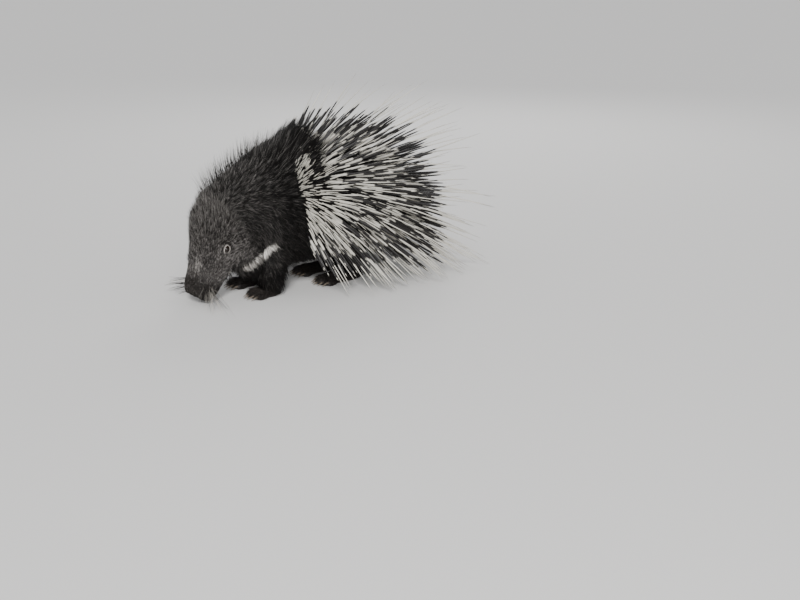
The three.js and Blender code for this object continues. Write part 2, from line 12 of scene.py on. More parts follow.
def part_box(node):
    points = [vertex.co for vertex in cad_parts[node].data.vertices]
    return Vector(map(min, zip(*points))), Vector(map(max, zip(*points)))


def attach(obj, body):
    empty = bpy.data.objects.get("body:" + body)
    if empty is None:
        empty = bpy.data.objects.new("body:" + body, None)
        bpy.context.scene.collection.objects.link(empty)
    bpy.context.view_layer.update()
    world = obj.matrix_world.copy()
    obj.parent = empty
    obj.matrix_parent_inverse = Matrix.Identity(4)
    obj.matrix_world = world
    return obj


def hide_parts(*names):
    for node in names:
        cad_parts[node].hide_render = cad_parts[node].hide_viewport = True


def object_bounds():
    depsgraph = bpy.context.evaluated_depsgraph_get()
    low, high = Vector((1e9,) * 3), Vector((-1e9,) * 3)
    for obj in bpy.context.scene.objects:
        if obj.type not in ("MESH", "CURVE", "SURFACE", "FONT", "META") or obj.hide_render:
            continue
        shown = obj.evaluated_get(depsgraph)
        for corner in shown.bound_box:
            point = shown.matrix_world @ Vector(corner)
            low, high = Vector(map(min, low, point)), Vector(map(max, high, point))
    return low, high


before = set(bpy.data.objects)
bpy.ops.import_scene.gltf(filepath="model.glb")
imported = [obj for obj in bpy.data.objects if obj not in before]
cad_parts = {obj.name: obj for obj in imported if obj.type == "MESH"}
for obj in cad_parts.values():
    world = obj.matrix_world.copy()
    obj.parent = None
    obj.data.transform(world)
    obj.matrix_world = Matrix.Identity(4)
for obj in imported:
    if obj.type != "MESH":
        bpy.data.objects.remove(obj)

CAD_BOX = [list(map(float, corner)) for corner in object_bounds()]

# Driving sizes of the body, in millimetres, as the solids have them
MM = 0.001
HEAD_PITCH = math.radians(62)
HEAD_YAW = math.radians(3)
NOSE = np.array([-190.0, -4.0, 14.0])
EYE_FROM, EYE_SIDE, EYE_RISE, EYE_RADIUS = 98.0, 37.5, 3.0, 7.4
BARE_EYE = (9.8, 8.4)  # half the length and height of the bare skin round each eye
NOSTRIL_SIDE, NOSTRIL_RISE, NOSTRIL_TURN = 10.0, 5.0, 0.45
NOSE_PAD = {"depth": 7, "rise": 4, "wide": 15, "high": 10}
MOUTH_RISE = -15.5
NECK_PLANE_POINT = np.array([-88.0, 0.0, 82.0])
NECK_PLANE_NORMAL = np.array([0.844, 0.0, 0.537])
TRUNK = {
    "x": [238, 226, 196, 145, 80, 10, -45, -84, -110, -128],
    "z": [100, 106, 117, 132, 146, 151, 149, 145, 134, 116],
    "wide": [20, 44, 70, 93, 103, 102, 89, 71, 57, 42],
    "high": [20, 38, 60, 82, 96, 100, 92, 75, 61, 48],
}
SKULL = {
    "from": [0, 4, 14, 34, 56, 80, 104, 128, 150, 168],
    "wide": [20, 26.5, 30.5, 33, 35, 38, 41.5, 46, 47, 38],
    "above": [17, 22, 27, 31, 35, 40, 45, 46, 42, 30],
    "below": [21, 27, 31, 35, 40, 45, 49, 51, 50, 40],
}
THROAT = {"centre": (-90, -2, 82), "size": (38, 50, 36)}
FEET = [
    {"kind": "fore", "side": "left", "x": -72, "y": -42, "toe_in": -4},
    {"kind": "fore", "side": "right", "x": -72, "y": 36, "toe_in": 4},
    {"kind": "hind", "side": "left", "x": 88, "y": -45, "toe_in": -5},
    {"kind": "hind", "side": "right", "x": 84, "y": 32, "toe_in": 5},
]
PAWS = {
    "fore": {"back": 24, "width": 17, "thick": 12, "toes": 4, "reach": 26, "toe": 6.4, "fan": 15},
    "hind": {"back": 42, "width": 17, "thick": 13, "toes": 5, "reach": 42, "toe": 6.0, "fan": 12},
}
TAIL = [(222, 0, 106, 17), (244, 0, 96, 15), (266, 0, 80, 11), (284, 0, 64, 6)]
QUILL_FIRST, QUILL_LAST, QUILL_LOWEST = -10.0, 237.0, 116.0
RIDGE_SETBACK = 22.0  # how much further back the quills begin on the ridge
RIDGE_RISE, FLANK_RISE = (60, -8), (-82, -29)  # degrees above the level, shoulders and rump
QUILL_SPLAY = (0.62, 0.46)
THICK_LENGTH, SLENDER_LENGTH = (92, 160), (170, 262)
RUMP_LENGTH = (0.62, 1.15)
THICK_RADIUS, SLENDER_RADIUS, SLENDER_SAG = 2.35, 1.3, 0.0006
QUILL_SUNK = 7.0
SKIN_VOXEL = 0.0026
SKIN_DEPTH = 1.5  # how far the skin lies inside the solids of the head, legs and feet
FLOOR_CLEARANCE = 1.5  # how high above the floor the quills end
TUFT_BULGE = 3.0  # how far a hair bows out, in its own radii
SHORTEST_HAIR = 0.6
PATCH = 0.003  # size of one tuft on the coat's map
STRAY_SEED = 7
CAMERA = {"place": (-0.923, -1.584, 0.586), "yaw": 37.0, "pitch": 18.8, "lens": 45.0, "film": 36.0}
FLOOR_REACH = 60.0


# Smooth rows of sizes, read at places from 0 to 1

def smooth_rows(rows):
    keys = list(rows)
    table = np.array([rows[key] for key in keys], dtype=float).T
    padded = np.vstack([2 * table[0] - table[1], table, 2 * table[-1] - table[-2]])

    def read(place):
        spot = np.clip(np.asarray(place, dtype=float), 0, 1) * (len(table) - 1)
        index = np.minimum(spot.astype(int), len(table) - 2)
        t = (spot - index)[..., None]
        a, b, c, d = (padded[index + k] for k in range(4))
        value = 0.5 * (
            2 * b + (c - a) * t + (2 * a - 5 * b + 4 * c - d) * t**2 + (3 * b - a - 3 * c + d) * t**3
        )
        return {key: value[..., k] for k, key in enumerate(keys)}

    return read


def smoothstep(low, high, value):
    t = np.clip((np.asarray(value, dtype=float) - low) / (high - low), 0, 1)
    return t * t * (3 - 2 * t)


def mix(a, b, share):
    return a + (b - a) * share


def unit(vectors):
    return vectors / np.maximum(np.linalg.norm(vectors, axis=-1, keepdims=True), 1e-9)


trunk_row = smooth_rows(TRUNK)
skull_row = smooth_rows(SKULL)


def turn_z(angle):
    return np.array(Matrix.Rotation(angle, 3, "Z"))


HEAD_TURN = turn_z(HEAD_YAW) @ np.array(Matrix.Rotation(-HEAD_PITCH, 3, "Y"))


def on_head(back, side, rise):
    """Body coordinates of places on the head: back from the nose tip, to the right, above the axis."""
    parts = np.broadcast_arrays(*(np.asarray(v, dtype=float) for v in (back, side, rise)))
    return np.stack(parts, axis=-1) @ HEAD_TURN.T + NOSE


def head_way(back, side, rise):
    return unit(on_head(back, side, rise) - NOSE)


def head_places(points):
    return (points - NOSE) @ HEAD_TURN


# The solids' left eye gives the place of the body in the frame
eye_low, eye_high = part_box("eye_left")
EYE_CENTRE = (np.array(eye_low) + np.array(eye_high)) / 2
SHIFT = EYE_CENTRE - on_head(EYE_FROM, -EYE_SIDE, EYE_RISE) * MM


def to_frame(points):
    return np.asarray(points) * MM + SHIFT


def to_body(points):
    return (np.asarray(points) - SHIFT) / MM


# Trunk and skull surfaces

def trunk_frame(place):
    row = trunk_row(place)
    before = trunk_row(np.maximum(np.asarray(place) - 0.02, 0))
    after = trunk_row(np.minimum(np.asarray(place) + 0.02, 1))
    forward = unit(
        np.stack([after["x"] - before["x"], 0 * row["x"], after["z"] - before["z"]], axis=-1)
    )
    up = np.stack([forward[..., 2], 0 * row["x"], -forward[..., 0]], axis=-1)
    centre = np.stack([row["x"], 0 * row["x"], row["z"]], axis=-1)
    return row, centre, up


def trunk_point(place, degrees, extra=0.0):
    row, centre, up = trunk_frame(place)
    angle = np.radians(degrees)
    wide = row["wide"] + extra
    high = row["high"] + extra
    side = np.zeros_like(centre)
    side[..., 1] = 1
    point = centre + side * (wide * np.sin(angle))[..., None] + up * (high * np.cos(angle))[..., None]
    out = unit(side * (np.sin(angle) / wide)[..., None] + up * (np.cos(angle) / high)[..., None])
    return point, out


PLACE_TABLE = np.linspace(0, 1, 400)
X_TABLE = trunk_row(PLACE_TABLE)["x"]


def place_at_x(x):
    return np.interp(-np.asarray(x, dtype=float), -X_TABLE, PLACE_TABLE)


def trunk_degrees(points):
    """How far round the trunk each point is, from the ridge down, negative on the left."""
    row, centre, up = trunk_frame(place_at_x(points[:, 0]))
    rise = np.einsum("ij,ij->i", points - centre, up) / row["high"]
    return np.degrees(np.arctan2(points[:, 1] / row["wide"], rise))


def skull_point(place, degrees, extra=0.0):
    row = skull_row(place)
    angle = np.radians(degrees)
    high = np.where(np.cos(angle) > 0, row["above"], row["below"]) + extra
    return on_head(row["from"], (row["wide"] + extra) * np.sin(angle), high * np.cos(angle))


# Meshes

def new_object(name, mesh):
    piece = bpy.data.objects.new(name, mesh)
    bpy.context.scene.collection.objects.link(piece)
    return piece


def mesh_from(name, verts, faces):
    mesh = bpy.data.meshes.new(name)
    mesh.from_pydata(np.asarray(verts).tolist(), [], faces)
    mesh.update()
    return mesh


def shade_smooth(mesh):
    mesh.polygons.foreach_set("use_smooth", [True] * len(mesh.polygons))


def loft(rings):
    """Closed skin through rings of points, with a fan over each end."""
    count, sides, _ = rings.shape
    verts = rings.reshape(-1, 3).tolist()
    faces = []
    for r in range(count - 1):
        for i in range(sides):
            k = (i + 1) % sides
            faces.append((r * sides + i, r * sides + k, (r + 1) * sides + k, (r + 1) * sides + i))
    for ring, first in ((0, True), (count - 1, False)):
        middle = len(verts)
        verts.append(rings[ring].mean(axis=0).tolist())
        for i in range(sides):
            a, b = ring * sides + i, ring * sides + (i + 1) % sides
            faces.append((middle, b, a) if first else (middle, a, b))
    return verts, faces


def ball(centre, size, turn=None, segments=20, rows=14):
    """Stretched ball in body millimetres."""
    bm = bmesh.new()
    bmesh.ops.create_uvsphere(bm, u_segments=segments, v_segments=rows, radius=1)
    verts = np.array([v.co[:] for v in bm.verts]) * np.asarray(size, dtype=float)
    faces = [tuple(v.index for v in f.verts) for f in bm.faces]
    bm.free()
    if turn is not None:
        verts = verts @ turn.T
    return (verts + np.asarray(centre)).tolist(), faces


def limb(stations, sides=20, extra=0.0):
    rings = []
    for r, (x, y, z, radius) in enumerate(stations):
        before = np.array(stations[max(0, r - 1)][:3], dtype=float)
        after = np.array(stations[min(len(stations) - 1, r + 1)][:3], dtype=float)
        along = unit(after - before)
        across = unit(np.cross([0, 1, 0], along))
        other = np.cross(along, across)
        angles = np.linspace(0, 2 * math.pi, sides, endpoint=False)[:, None]
        size = radius + extra
        rings.append(np.array([x, y, z]) + size * (across * np.cos(angles) + other * np.sin(angles)))
    return loft(np.array(rings))


def leg_stations(foot):
    out = math.copysign(1, foot["y"])
    x, y = foot["x"], foot["y"]
    if foot["kind"] == "fore":
        return [
            (x + 12, y, 6, 12),
            (x + 13, y, 24, 14),
            (x + 14, y + out * 3, 48, 18),
            (x + 18, y + out * 4, 84, 27),
            (x + 24, y, 118, 30),
        ]
    return [
        (x + 30, y, 6, 12),
        (x + 32, y, 26, 14),
        (x + 24, y + out * 7, 46, 22),
        (x + 14, y + out * 10, 74, 33),
        (x + 22, y + out * 6, 116, 38),
    ]


def toe_places(foot):
    paw = PAWS[foot["kind"]]
    places = []
    for toe in range(paw["toes"]):
        spread = toe - (paw["toes"] - 1) / 2
        angle = math.radians(spread * paw["fan"] + foot["toe_in"])
        reach = paw["reach"] - abs(spread) * 3
        x = foot["x"] - reach * math.cos(angle * 0.6)
        places.append((x, foot["y"] + spread * paw["toe"] * 1.55))
    return places


def paw_forms(foot, depth):
    paw = PAWS[foot["kind"]]
    back, width, thick = paw["back"], paw["width"] - depth, paw["thick"] - depth
    forms = [
        ball((foot["x"] + back * 0.35, foot["y"], paw["thick"] * 0.45), (back - depth, width, thick)),
        ball((foot["x"] - back * 0.35, foot["y"], paw["thick"] * 0.45), (back * 0.8, width + 1, thick - 1)),
    ]
    for x, y in toe_places(foot):
        size = (paw["toe"] * 2 - depth / 2, paw["toe"] - depth / 2, paw["toe"] + 1 - depth / 2)
        forms.append(ball((x + paw["toe"], y, paw["toe"] * 0.7), size))
    return forms


# Skin: one surface over trunk, neck, head, legs, feet and tail

def skin_forms():
    place = np.linspace(0, 1, 60)[:, None]
    around = np.linspace(0, 360, 64, endpoint=False)[None, :]
    trunk = loft(trunk_point(*np.broadcast_arrays(place, around), -0.6)[0])
    skull = loft(skull_point(*np.broadcast_arrays(place, around), -SKIN_DEPTH))
    forms = [trunk, skull, limb(TAIL), ball(THROAT["centre"], THROAT["size"], segments=32, rows=20)]
    for side in (-1, 1):
        forms.append(ball(on_head(7, side * 13, -8), (10, 14, 11), HEAD_TURN))
        forms.append(ball(on_head(122, side * 30, -8), (26, 15, 26), HEAD_TURN))
    forms.append(ball(on_head(24, 0, -25), (16, 17, 7), HEAD_TURN))
    for foot in FEET:
        forms.append(limb(leg_stations(foot), extra=-SKIN_DEPTH))
        forms.extend(paw_forms(foot, SKIN_DEPTH))
    return forms


def join_forms(name, forms):
    verts, faces = [], []
    for form_verts, form_faces in forms:
        start = len(verts)
        verts.extend(form_verts)
        faces.extend(tuple(i + start for i in face) for face in form_faces)
    return new_object(name, mesh_from(name, to_frame(np.array(verts)), faces))


def evaluated_mesh(piece):
    graph = bpy.context.evaluated_depsgraph_get()
    graph.update()
    return bpy.data.meshes.new_from_object(
        piece.evaluated_get(graph), preserve_all_data_layers=True, depsgraph=graph
    )


def settle_modifiers(piece):
    mesh = evaluated_mesh(piece)
    piece.modifiers.clear()
    old = piece.data
    piece.data = mesh
    bpy.data.meshes.remove(old)
    return piece


def refine_near(piece, centre, radius, cuts):
    """Split the skin's faces finer round one place of the face."""
    bm = bmesh.new()
    bm.from_mesh(piece.data)
    middle = Vector(centre)
    edges = [e for e in bm.edges if all((v.co - middle).length < radius for v in e.verts)]
    bmesh.ops.subdivide_edges(bm, edges=edges, cuts=cuts, use_grid_fill=True)
    bm.to_mesh(piece.data)
    bm.free()


def mesh_points(mesh):
    points = np.empty(len(mesh.vertices) * 3)
    mesh.vertices.foreach_get("co", points)
    return points.reshape(-1, 3)


def set_points(mesh, points):
    mesh.vertices.foreach_set("co", np.ascontiguousarray(points).ravel())
    mesh.update()


def shape_lids(local, side):
    """Lids round one eye, in head millimetres: a raised rim that follows the ball, and an open slit."""
    slope = 0.10
    a = local[:, 0] - EYE_FROM
    b = local[:, 2] - EYE_RISE
    a, b = a + slope * b, b - slope * a
    out = side * local[:, 1]
    near = (np.hypot(a, b) < 19) & (out > 18)
    q = np.hypot(a / 6.6, b / 5.2)
    over = np.sqrt(np.maximum((EYE_RADIUS + 0.5) ** 2 - a**2 - b**2, 0)) + EYE_SIDE
    rim = over + 1.1 - 0.5 * np.abs(q - 1.18)
    share = 1 - smoothstep(1.25, 2.6, q)
    shaped = mix(out, rim, share)
    fold = np.exp(-(((q - 1.75) / 0.16) ** 2)) * smoothstep(-2, 4, b)
    shaped = shaped - 0.9 * fold
    inside = 1 - smoothstep(0.9, 1.04, q)
    shaped = mix(shaped, EYE_SIDE - 3, inside)
    local[near, 1] = (side * shaped)[near]
    # The returned share is a painted highlight: the rim, the front corner and a line below each eye are
    # painted pale as their glint.
    ring = np.exp(-(((q - 1.12) / 0.17) ** 2)) * near
    corner = np.exp(-(((a + 8.6) / 3.0) ** 2 + ((b - 0.4) / 2.2) ** 2)) * near
    under = np.exp(-(((b + 7.8 + 0.05 * a) / 0.9) ** 2)) * smoothstep(10, 5, np.abs(a)) * near
    return ring + corner + 0.7 * under


def shape_muzzle(local, normals):
    """Nostrils, the cleft below the nose and the line of the mouth."""
    back, side, rise = local.T
    depth = np.zeros(len(local))
    front = back < 16
    for hand in (-1, 1):
        across = hand * side - NOSTRIL_SIDE
        over = rise - NOSTRIL_RISE
        u = across * math.cos(NOSTRIL_TURN) + over * math.sin(NOSTRIL_TURN)
        v = -across * math.sin(NOSTRIL_TURN) + over * math.cos(NOSTRIL_TURN)
        depth += front * 4.5 * np.exp(-((u / 4.2) ** 2 + (v / 1.9) ** 2))
    depth += (back < 20) * (rise < 2) * 1.6 * np.exp(-((side / 1.1) ** 2))
    line = MOUTH_RISE - 3.0 * smoothstep(16, 28, np.abs(side))
    depth += (back > -8) * (back < 38) * 2.4 * np.exp(-(((rise - line) / 1.2) ** 2))
    local -= normals * depth[:, None]
    return local


def vertex_normals(mesh):
    normals = np.empty(len(mesh.vertices) * 3)
    mesh.vertex_normals.foreach_get("vector", normals)
    return normals.reshape(-1, 3)


def make_skin():
    skin = join_forms("skin", skin_forms())
    remesh = skin.modifiers.new("one_surface", "REMESH")
    remesh.mode = "VOXEL"
    remesh.voxel_size = SKIN_VOXEL
    soften = skin.modifiers.new("soften", "SMOOTH")
    soften.factor = 0.6
    soften.iterations = 9
    settle_modifiers(skin)
    for side in (-1, 1):
        eye = to_frame(on_head(EYE_FROM, side * (EYE_SIDE + 3), EYE_RISE))
        refine_near(skin, eye, 0.020, 1)
        refine_near(skin, eye, 0.0145, 1)
        refine_near(skin, eye, 0.0115, 1)
    refine_near(skin, to_frame(on_head(6, 0, -4)), 0.034, 1)
    refine_near(skin, to_frame(on_head(2, 0, 0)), 0.026, 1)
    mesh = skin.data
    points = to_body(mesh_points(mesh))
    normals = vertex_normals(mesh) @ HEAD_TURN
    local = head_places(points)
    # share of the painted highlight on the lid rims
    painted_glint = np.zeros(len(local))
    near_head = np.linalg.norm(local - [70, 0, 0], axis=1) < 110
    local[near_head] = shape_muzzle(local[near_head], normals[near_head])
    for side in (-1, 1):
        mask = np.zeros(len(local))
        part = local[near_head]
        mask[near_head] = shape_lids(part, side)
        local[near_head] = part
        painted_glint = np.maximum(painted_glint, mask)
    points = on_head(*local.T)
    points[:, 2] = np.maximum(points[:, 2], 0.0)
    set_points(mesh, to_frame(points))
    # painted highlight of the lid rims, read by the skin's finish
    mesh.attributes.new("lid", "FLOAT", "POINT").data.foreach_set("value", np.clip(painted_glint, 0, 1))
    shade_smooth(mesh)
    return skin


def unwrap(piece):
    bpy.context.view_layer.objects.active = piece
    piece.select_set(True)
    bpy.ops.object.mode_set(mode="EDIT")
    bpy.ops.mesh.select_all(action="SELECT")
    bpy.ops.uv.smart_project(angle_limit=math.radians(72), island_margin=0.001)
    bpy.ops.object.mode_set(mode="OBJECT")
    piece.select_set(False)
    piece.data.uv_layers.active.name = "OFBake"


class Roots:
    """Places on the skin where hair may grow, with their ways out and their spots on the map."""

    def __init__(self, mesh):
        mesh.calc_loop_triangles()
        count = len(mesh.loop_triangles)
        corners = np.empty(count * 3, dtype=int)
        loops = np.empty(count * 3, dtype=int)
        mesh.loop_triangles.foreach_get("vertices", corners)
        mesh.loop_triangles.foreach_get("loops", loops)
        uv = np.empty(len(mesh.loops) * 2)
        mesh.uv_layers["OFBake"].data.foreach_get("uv", uv)
        self.points = to_body(mesh_points(mesh))[corners.reshape(-1, 3)]
        self.normals = vertex_normals(mesh)[corners.reshape(-1, 3)]
        self.uv = uv.reshape(-1, 2)[loops.reshape(-1, 3)]
        cross = np.cross(
            self.points[:, 1] - self.points[:, 0], self.points[:, 2] - self.points[:, 0]
        )
        self.area = np.linalg.norm(cross, axis=1) / 2
        self.centres = self.points.mean(axis=1)
        self.tree = None

    def scatter(self, count, seed, weight):
        random = np.random.default_rng(seed)
        share = self.area * weight(self.centres)
        pick = random.choice(len(share), count, p=share / share.sum())
        a, b = random.random((2, count, 1))
        fold = (a + b) > 1
        a, b = np.where(fold, 1 - a, a), np.where(fold, 1 - b, b)
        c = 1 - a - b

        def blend(values):
            return values[pick, 0] * c + values[pick, 1] * a + values[pick, 2] * b

        return random, blend(self.points), unit(blend(self.normals)), blend(self.uv)

    def nearest(self, points):
        if self.tree is None:
            self.tree = KDTree(len(self.centres))
            for i, centre in enumerate(self.centres):
                self.tree.insert(centre, i)
            self.tree.balance()
        return [self.tree.find(point)[1] for point in points]

    def nearest_uv(self, points):
        return self.uv[self.nearest(points)].mean(axis=1)

    def nearest_surface(self, points):
        found = self.nearest(points)
        return self.centres[found], unit(self.normals[found].mean(axis=1)), self.uv[found].mean(axis=1)


# Regions of the body, as shares from 0 to 1

def behind_jaw(points):
    return (points - NECK_PLANE_POINT) @ NECK_PLANE_NORMAL


def head_share(points):
    local = head_places(points)
    close = np.hypot(local[:, 1], local[:, 2]) < 68
    return (1 - smoothstep(-4, 4, behind_jaw(points))) * (points[:, 0] < -66) * close


def foot_share(points):
    return (1 - smoothstep(14, 24, points[:, 2])) * (points[:, 0] > -135) * (1 - face_only(points))


def face_only(points):
    """One for places on the head, whose surface hangs as low as the feet, and nought elsewhere."""
    local = head_places(points)
    radius = np.hypot(local[:, 1], local[:, 2])
    return ((local[:, 0] < 120) & (radius < 62) & (behind_jaw(points) < 0)).astype(float)


def toe_front(points):
    """One just behind the claws, where the toes stay nearly bare."""
    share = np.zeros(len(points))
    for foot in FEET:
        for x, y in toe_places(foot):
            share = np.maximum(share, (np.hypot(points[:, 0] - x + 2, points[:, 1] - y) < 7).astype(float))
    return share


def leg_share(points):
    low = 1 - smoothstep(44, 66, points[:, 2])
    return low * (1 - head_share(points)) * (points[:, 0] < 150)


def quilled_share(points):
    degrees = np.abs(trunk_degrees(points))
    ahead = smoothstep(-6, 8, points[:, 0] - quill_front(degrees))
    return ahead * (1 - smoothstep(108, 120, degrees)) * (points[:, 2] > 50) * (points[:, 0] < 236)


def eye_clear(points):
    """Nought round the eyes, on the nose and along the mouth, where no hair grows, and one elsewhere."""
    local = head_places(points)
    clear = np.ones(len(points))
    for side in (-1, 1):
        a = local[:, 0] - EYE_FROM
        b = local[:, 2] - EYE_RISE
        near = (side * local[:, 1] > 10) & (np.hypot(a / BARE_EYE[0], b / BARE_EYE[1]) < 1)
        clear[near] = 0
    across, over = local[:, 1] / NOSE_PAD["wide"], (local[:, 2] - NOSE_PAD["rise"]) / NOSE_PAD["high"]
    nose = (local[:, 0] < NOSE_PAD["depth"]) & (np.hypot(across, over) < 1)
    cleft = (local[:, 0] < 12) & (np.abs(local[:, 1]) < 1.8) & (local[:, 2] < 0)
    mouth = (local[:, 0] < 30) & (np.abs(local[:, 2] - MOUTH_RISE) < 1.6)
    clear[nose | cleft | mouth] = 0
    return clear


# Tufts, quills and the tree of nodes that sets them on their roots

def tuft_source(name, sides, stations, bend=0.0):
    """One tuft of unit length along +Z: stations of place, radius, and a bulge towards +X."""
    verts, along, patch = [], [], []
    for t, radius in stations[:-1]:
        lean = bend * 4 * t * (1 - t)
        for i in range(sides):
            angle = 2 * math.pi * i / sides
            verts.append((radius * math.cos(angle) + lean, radius * math.sin(angle), t))
            along.append(t)
            patch.append((i / sides, t, 0))
    verts.append((0, 0, 1))
    along.append(1.0)
    patch.append((0.5, 1, 0))
    faces = []
    for r in range(len(stations) - 2):
        for i in range(sides):
            k = (i + 1) % sides
            faces.append((r * sides + i, r * sides + k, (r + 1) * sides + k, (r + 1) * sides + i))
    last = (len(stations) - 2) * sides
    for i in range(sides):
        faces.append((last + i, last + (i + 1) % sides, len(verts) - 1))
    mesh = mesh_from(name, verts, faces)
    mesh.attributes.new("along", "FLOAT", "POINT").data.foreach_set("value", along)
    mesh.attributes.new("patch", "FLOAT_VECTOR", "POINT").data.foreach_set(
        "vector", np.array(patch).ravel()
    )
    shade_smooth(mesh)
    return new_object(name, mesh)


def socket(tree, name, kind, default=None):
    made = tree.interface.new_socket(name=name, in_out="INPUT", socket_type=kind)
    if default is not None:
        made.default_value = default
    return made.identifier


def add(tree, kind, **settings):
    node = tree.nodes.new(kind)
    for key, value in settings.items():
        setattr(node, key, value)
    return node


def coat_tree():
    tree = bpy.data.node_groups.new("coat_of_tufts", "GeometryNodeTree")
    names = {
        "Roots": socket(tree, "Roots", "NodeSocketGeometry"),
        "Tuft": socket(tree, "Tuft", "NodeSocketObject"),
        "Finish": socket(tree, "Finish", "NodeSocketMaterial"),
        "Wobble": socket(tree, "Wobble", "NodeSocketFloat", 0.1),
        "Patch": socket(tree, "Patch", "NodeSocketFloat", PATCH),
        "Seed": socket(tree, "Seed", "NodeSocketInt", 1),
    }
    tree.interface.new_socket(name="Coat", in_out="OUTPUT", socket_type="NodeSocketGeometry")
    link = tree.links.new
    given = add(tree, "NodeGroupInput")
    result = add(tree, "NodeGroupOutput")

    def attribute(name, kind):
        node = add(tree, "GeometryNodeInputNamedAttribute", data_type=kind)
        node.inputs["Name"].default_value = name
        return node.outputs["Attribute"]

    def maths(operation, a, b):
        node = add(tree, "ShaderNodeMath", operation=operation)
        for slot, value in zip(node.inputs, (a, b)):
            if isinstance(value, (int, float)):
                slot.default_value = value
            else:
                link(value, slot)
        return node.outputs[0]

    def vector_maths(operation, a, b):
        node = add(tree, "ShaderNodeVectorMath", operation=operation)
        link(a, node.inputs[0])
        link(b, node.inputs["Scale"] if operation == "SCALE" else node.inputs[1])
        return node.outputs[0]

    jitter = add(tree, "FunctionNodeRandomValue", data_type="FLOAT_VECTOR")
    jitter.inputs[0].default_value = (-1, -1, -1)
    jitter.inputs[1].default_value = (1, 1, 1)
    link(given.outputs["Seed"], jitter.inputs["Seed"])
    stray = vector_maths("SCALE", jitter.outputs[0], given.outputs["Wobble"])
    aim = vector_maths("ADD", attribute("aim", "FLOAT_VECTOR"), stray)
    stand = add(tree, "FunctionNodeAlignRotationToVector", axis="Z")
    link(aim, stand.inputs["Vector"])
    face_out = add(tree, "FunctionNodeAlignRotationToVector", axis="X", pivot_axis="Z")
    link(stand.outputs["Rotation"], face_out.inputs["Rotation"])
    link(attribute("out", "FLOAT_VECTOR"), face_out.inputs["Vector"])
    wide = attribute("width", "FLOAT")
    size = add(tree, "ShaderNodeCombineXYZ")
    link(wide, size.inputs[0])
    link(wide, size.inputs[1])
    link(attribute("length", "FLOAT"), size.inputs[2])
    shape = add(tree, "GeometryNodeObjectInfo")
    link(given.outputs["Tuft"], shape.inputs["Object"])
    set_out = add(tree, "GeometryNodeInstanceOnPoints")
    link(given.outputs["Roots"], set_out.inputs["Points"])
    link(shape.outputs["Geometry"], set_out.inputs["Instance"])
    link(face_out.outputs["Rotation"], set_out.inputs["Rotation"])
    link(size.outputs[0], set_out.inputs["Scale"])
    real = add(tree, "GeometryNodeRealizeInstances")
    link(set_out.outputs["Instances"], real.inputs["Geometry"])
    along = attribute("along", "FLOAT")
    sink = maths("MULTIPLY", maths("MULTIPLY", along, along), attribute("droop", "FLOAT"))
    fall = add(tree, "ShaderNodeCombineXYZ")
    link(maths("MULTIPLY", sink, -1.0), fall.inputs[2])
    bent = add(tree, "GeometryNodeSetPosition")
    link(real.outputs["Geometry"], bent.inputs["Geometry"])
    link(fall.outputs[0], bent.inputs["Offset"])
    spot = vector_maths("SCALE", attribute("patch", "FLOAT_VECTOR"), given.outputs["Patch"])
    spot = vector_maths("ADD", spot, attribute("root_uv", "FLOAT_VECTOR"))
    chart = add(tree, "GeometryNodeStoreNamedAttribute", data_type="FLOAT2", domain="CORNER")
    chart.inputs["Name"].default_value = "OFBake"
    link(bent.outputs["Geometry"], chart.inputs["Geometry"])
    link(spot, chart.inputs["Value"])
    dress = add(tree, "GeometryNodeSetMaterial")
    link(chart.outputs["Geometry"], dress.inputs["Geometry"])
    link(given.outputs["Finish"], dress.inputs["Material"])
    link(dress.outputs["Geometry"], result.inputs[0])
    return tree, names


COAT_TREE, COAT_INPUTS = coat_tree()


def above_floor(points, aim, length, width, wobble):
    """Shorten the hairs that would reach the floor."""
    fall = np.maximum(0, -unit(aim)[:, 2]) + wobble
    room = points[:, 2] - TUFT_BULGE * width
    return np.minimum(length, np.maximum(room / fall, SHORTEST_HAIR))


def grow(name, tuft, finish, random, points, aim, out, uv, length, width, droop=0.0, wobble=0.08):
    """One coat piece: every root gets a copy of the tuft, and the copies become a plain mesh."""
    count = len(points)
    if wobble:
        length = above_floor(points, aim, length, width, wobble)
    mesh = mesh_from(name, to_frame(points), [])
    flat_uv = np.column_stack([uv, np.zeros(count)])
    for key, values in (("aim", unit(aim)), ("out", out), ("root_uv", flat_uv)):
        data = mesh.attributes.new(key, "FLOAT_VECTOR", "POINT").data
        data.foreach_set("vector", np.ascontiguousarray(values, dtype=float).ravel())
    sizes = {"length": length * MM, "width": width * MM, "droop": droop * MM, "tone": random.random(count)}
    for key, values in sizes.items():
        data = mesh.attributes.new(key, "FLOAT", "POINT").data
        data.foreach_set("value", np.ascontiguousarray(np.broadcast_to(values, count), dtype=float))
    piece = new_object(name, mesh)
    modifier = piece.modifiers.new("coat", "NODES")
    modifier.node_group = COAT_TREE
    modifier[COAT_INPUTS["Tuft"]] = tuft
    modifier[COAT_INPUTS["Finish"]] = finish
    modifier[COAT_INPUTS["Wobble"]] = wobble
    modifier[COAT_INPUTS["Seed"]] = STRAY_SEED
    return settle_modifiers(piece)


def finish_piece(piece, slot, *nodes):
    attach(piece, "root")
    if nodes:
        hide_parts(*nodes)


# Finishes

def new_material(name):
    material = bpy.data.materials.new(name)
    material.use_nodes = True
    return material, material.node_tree, material.node_tree.nodes["Principled BSDF"]


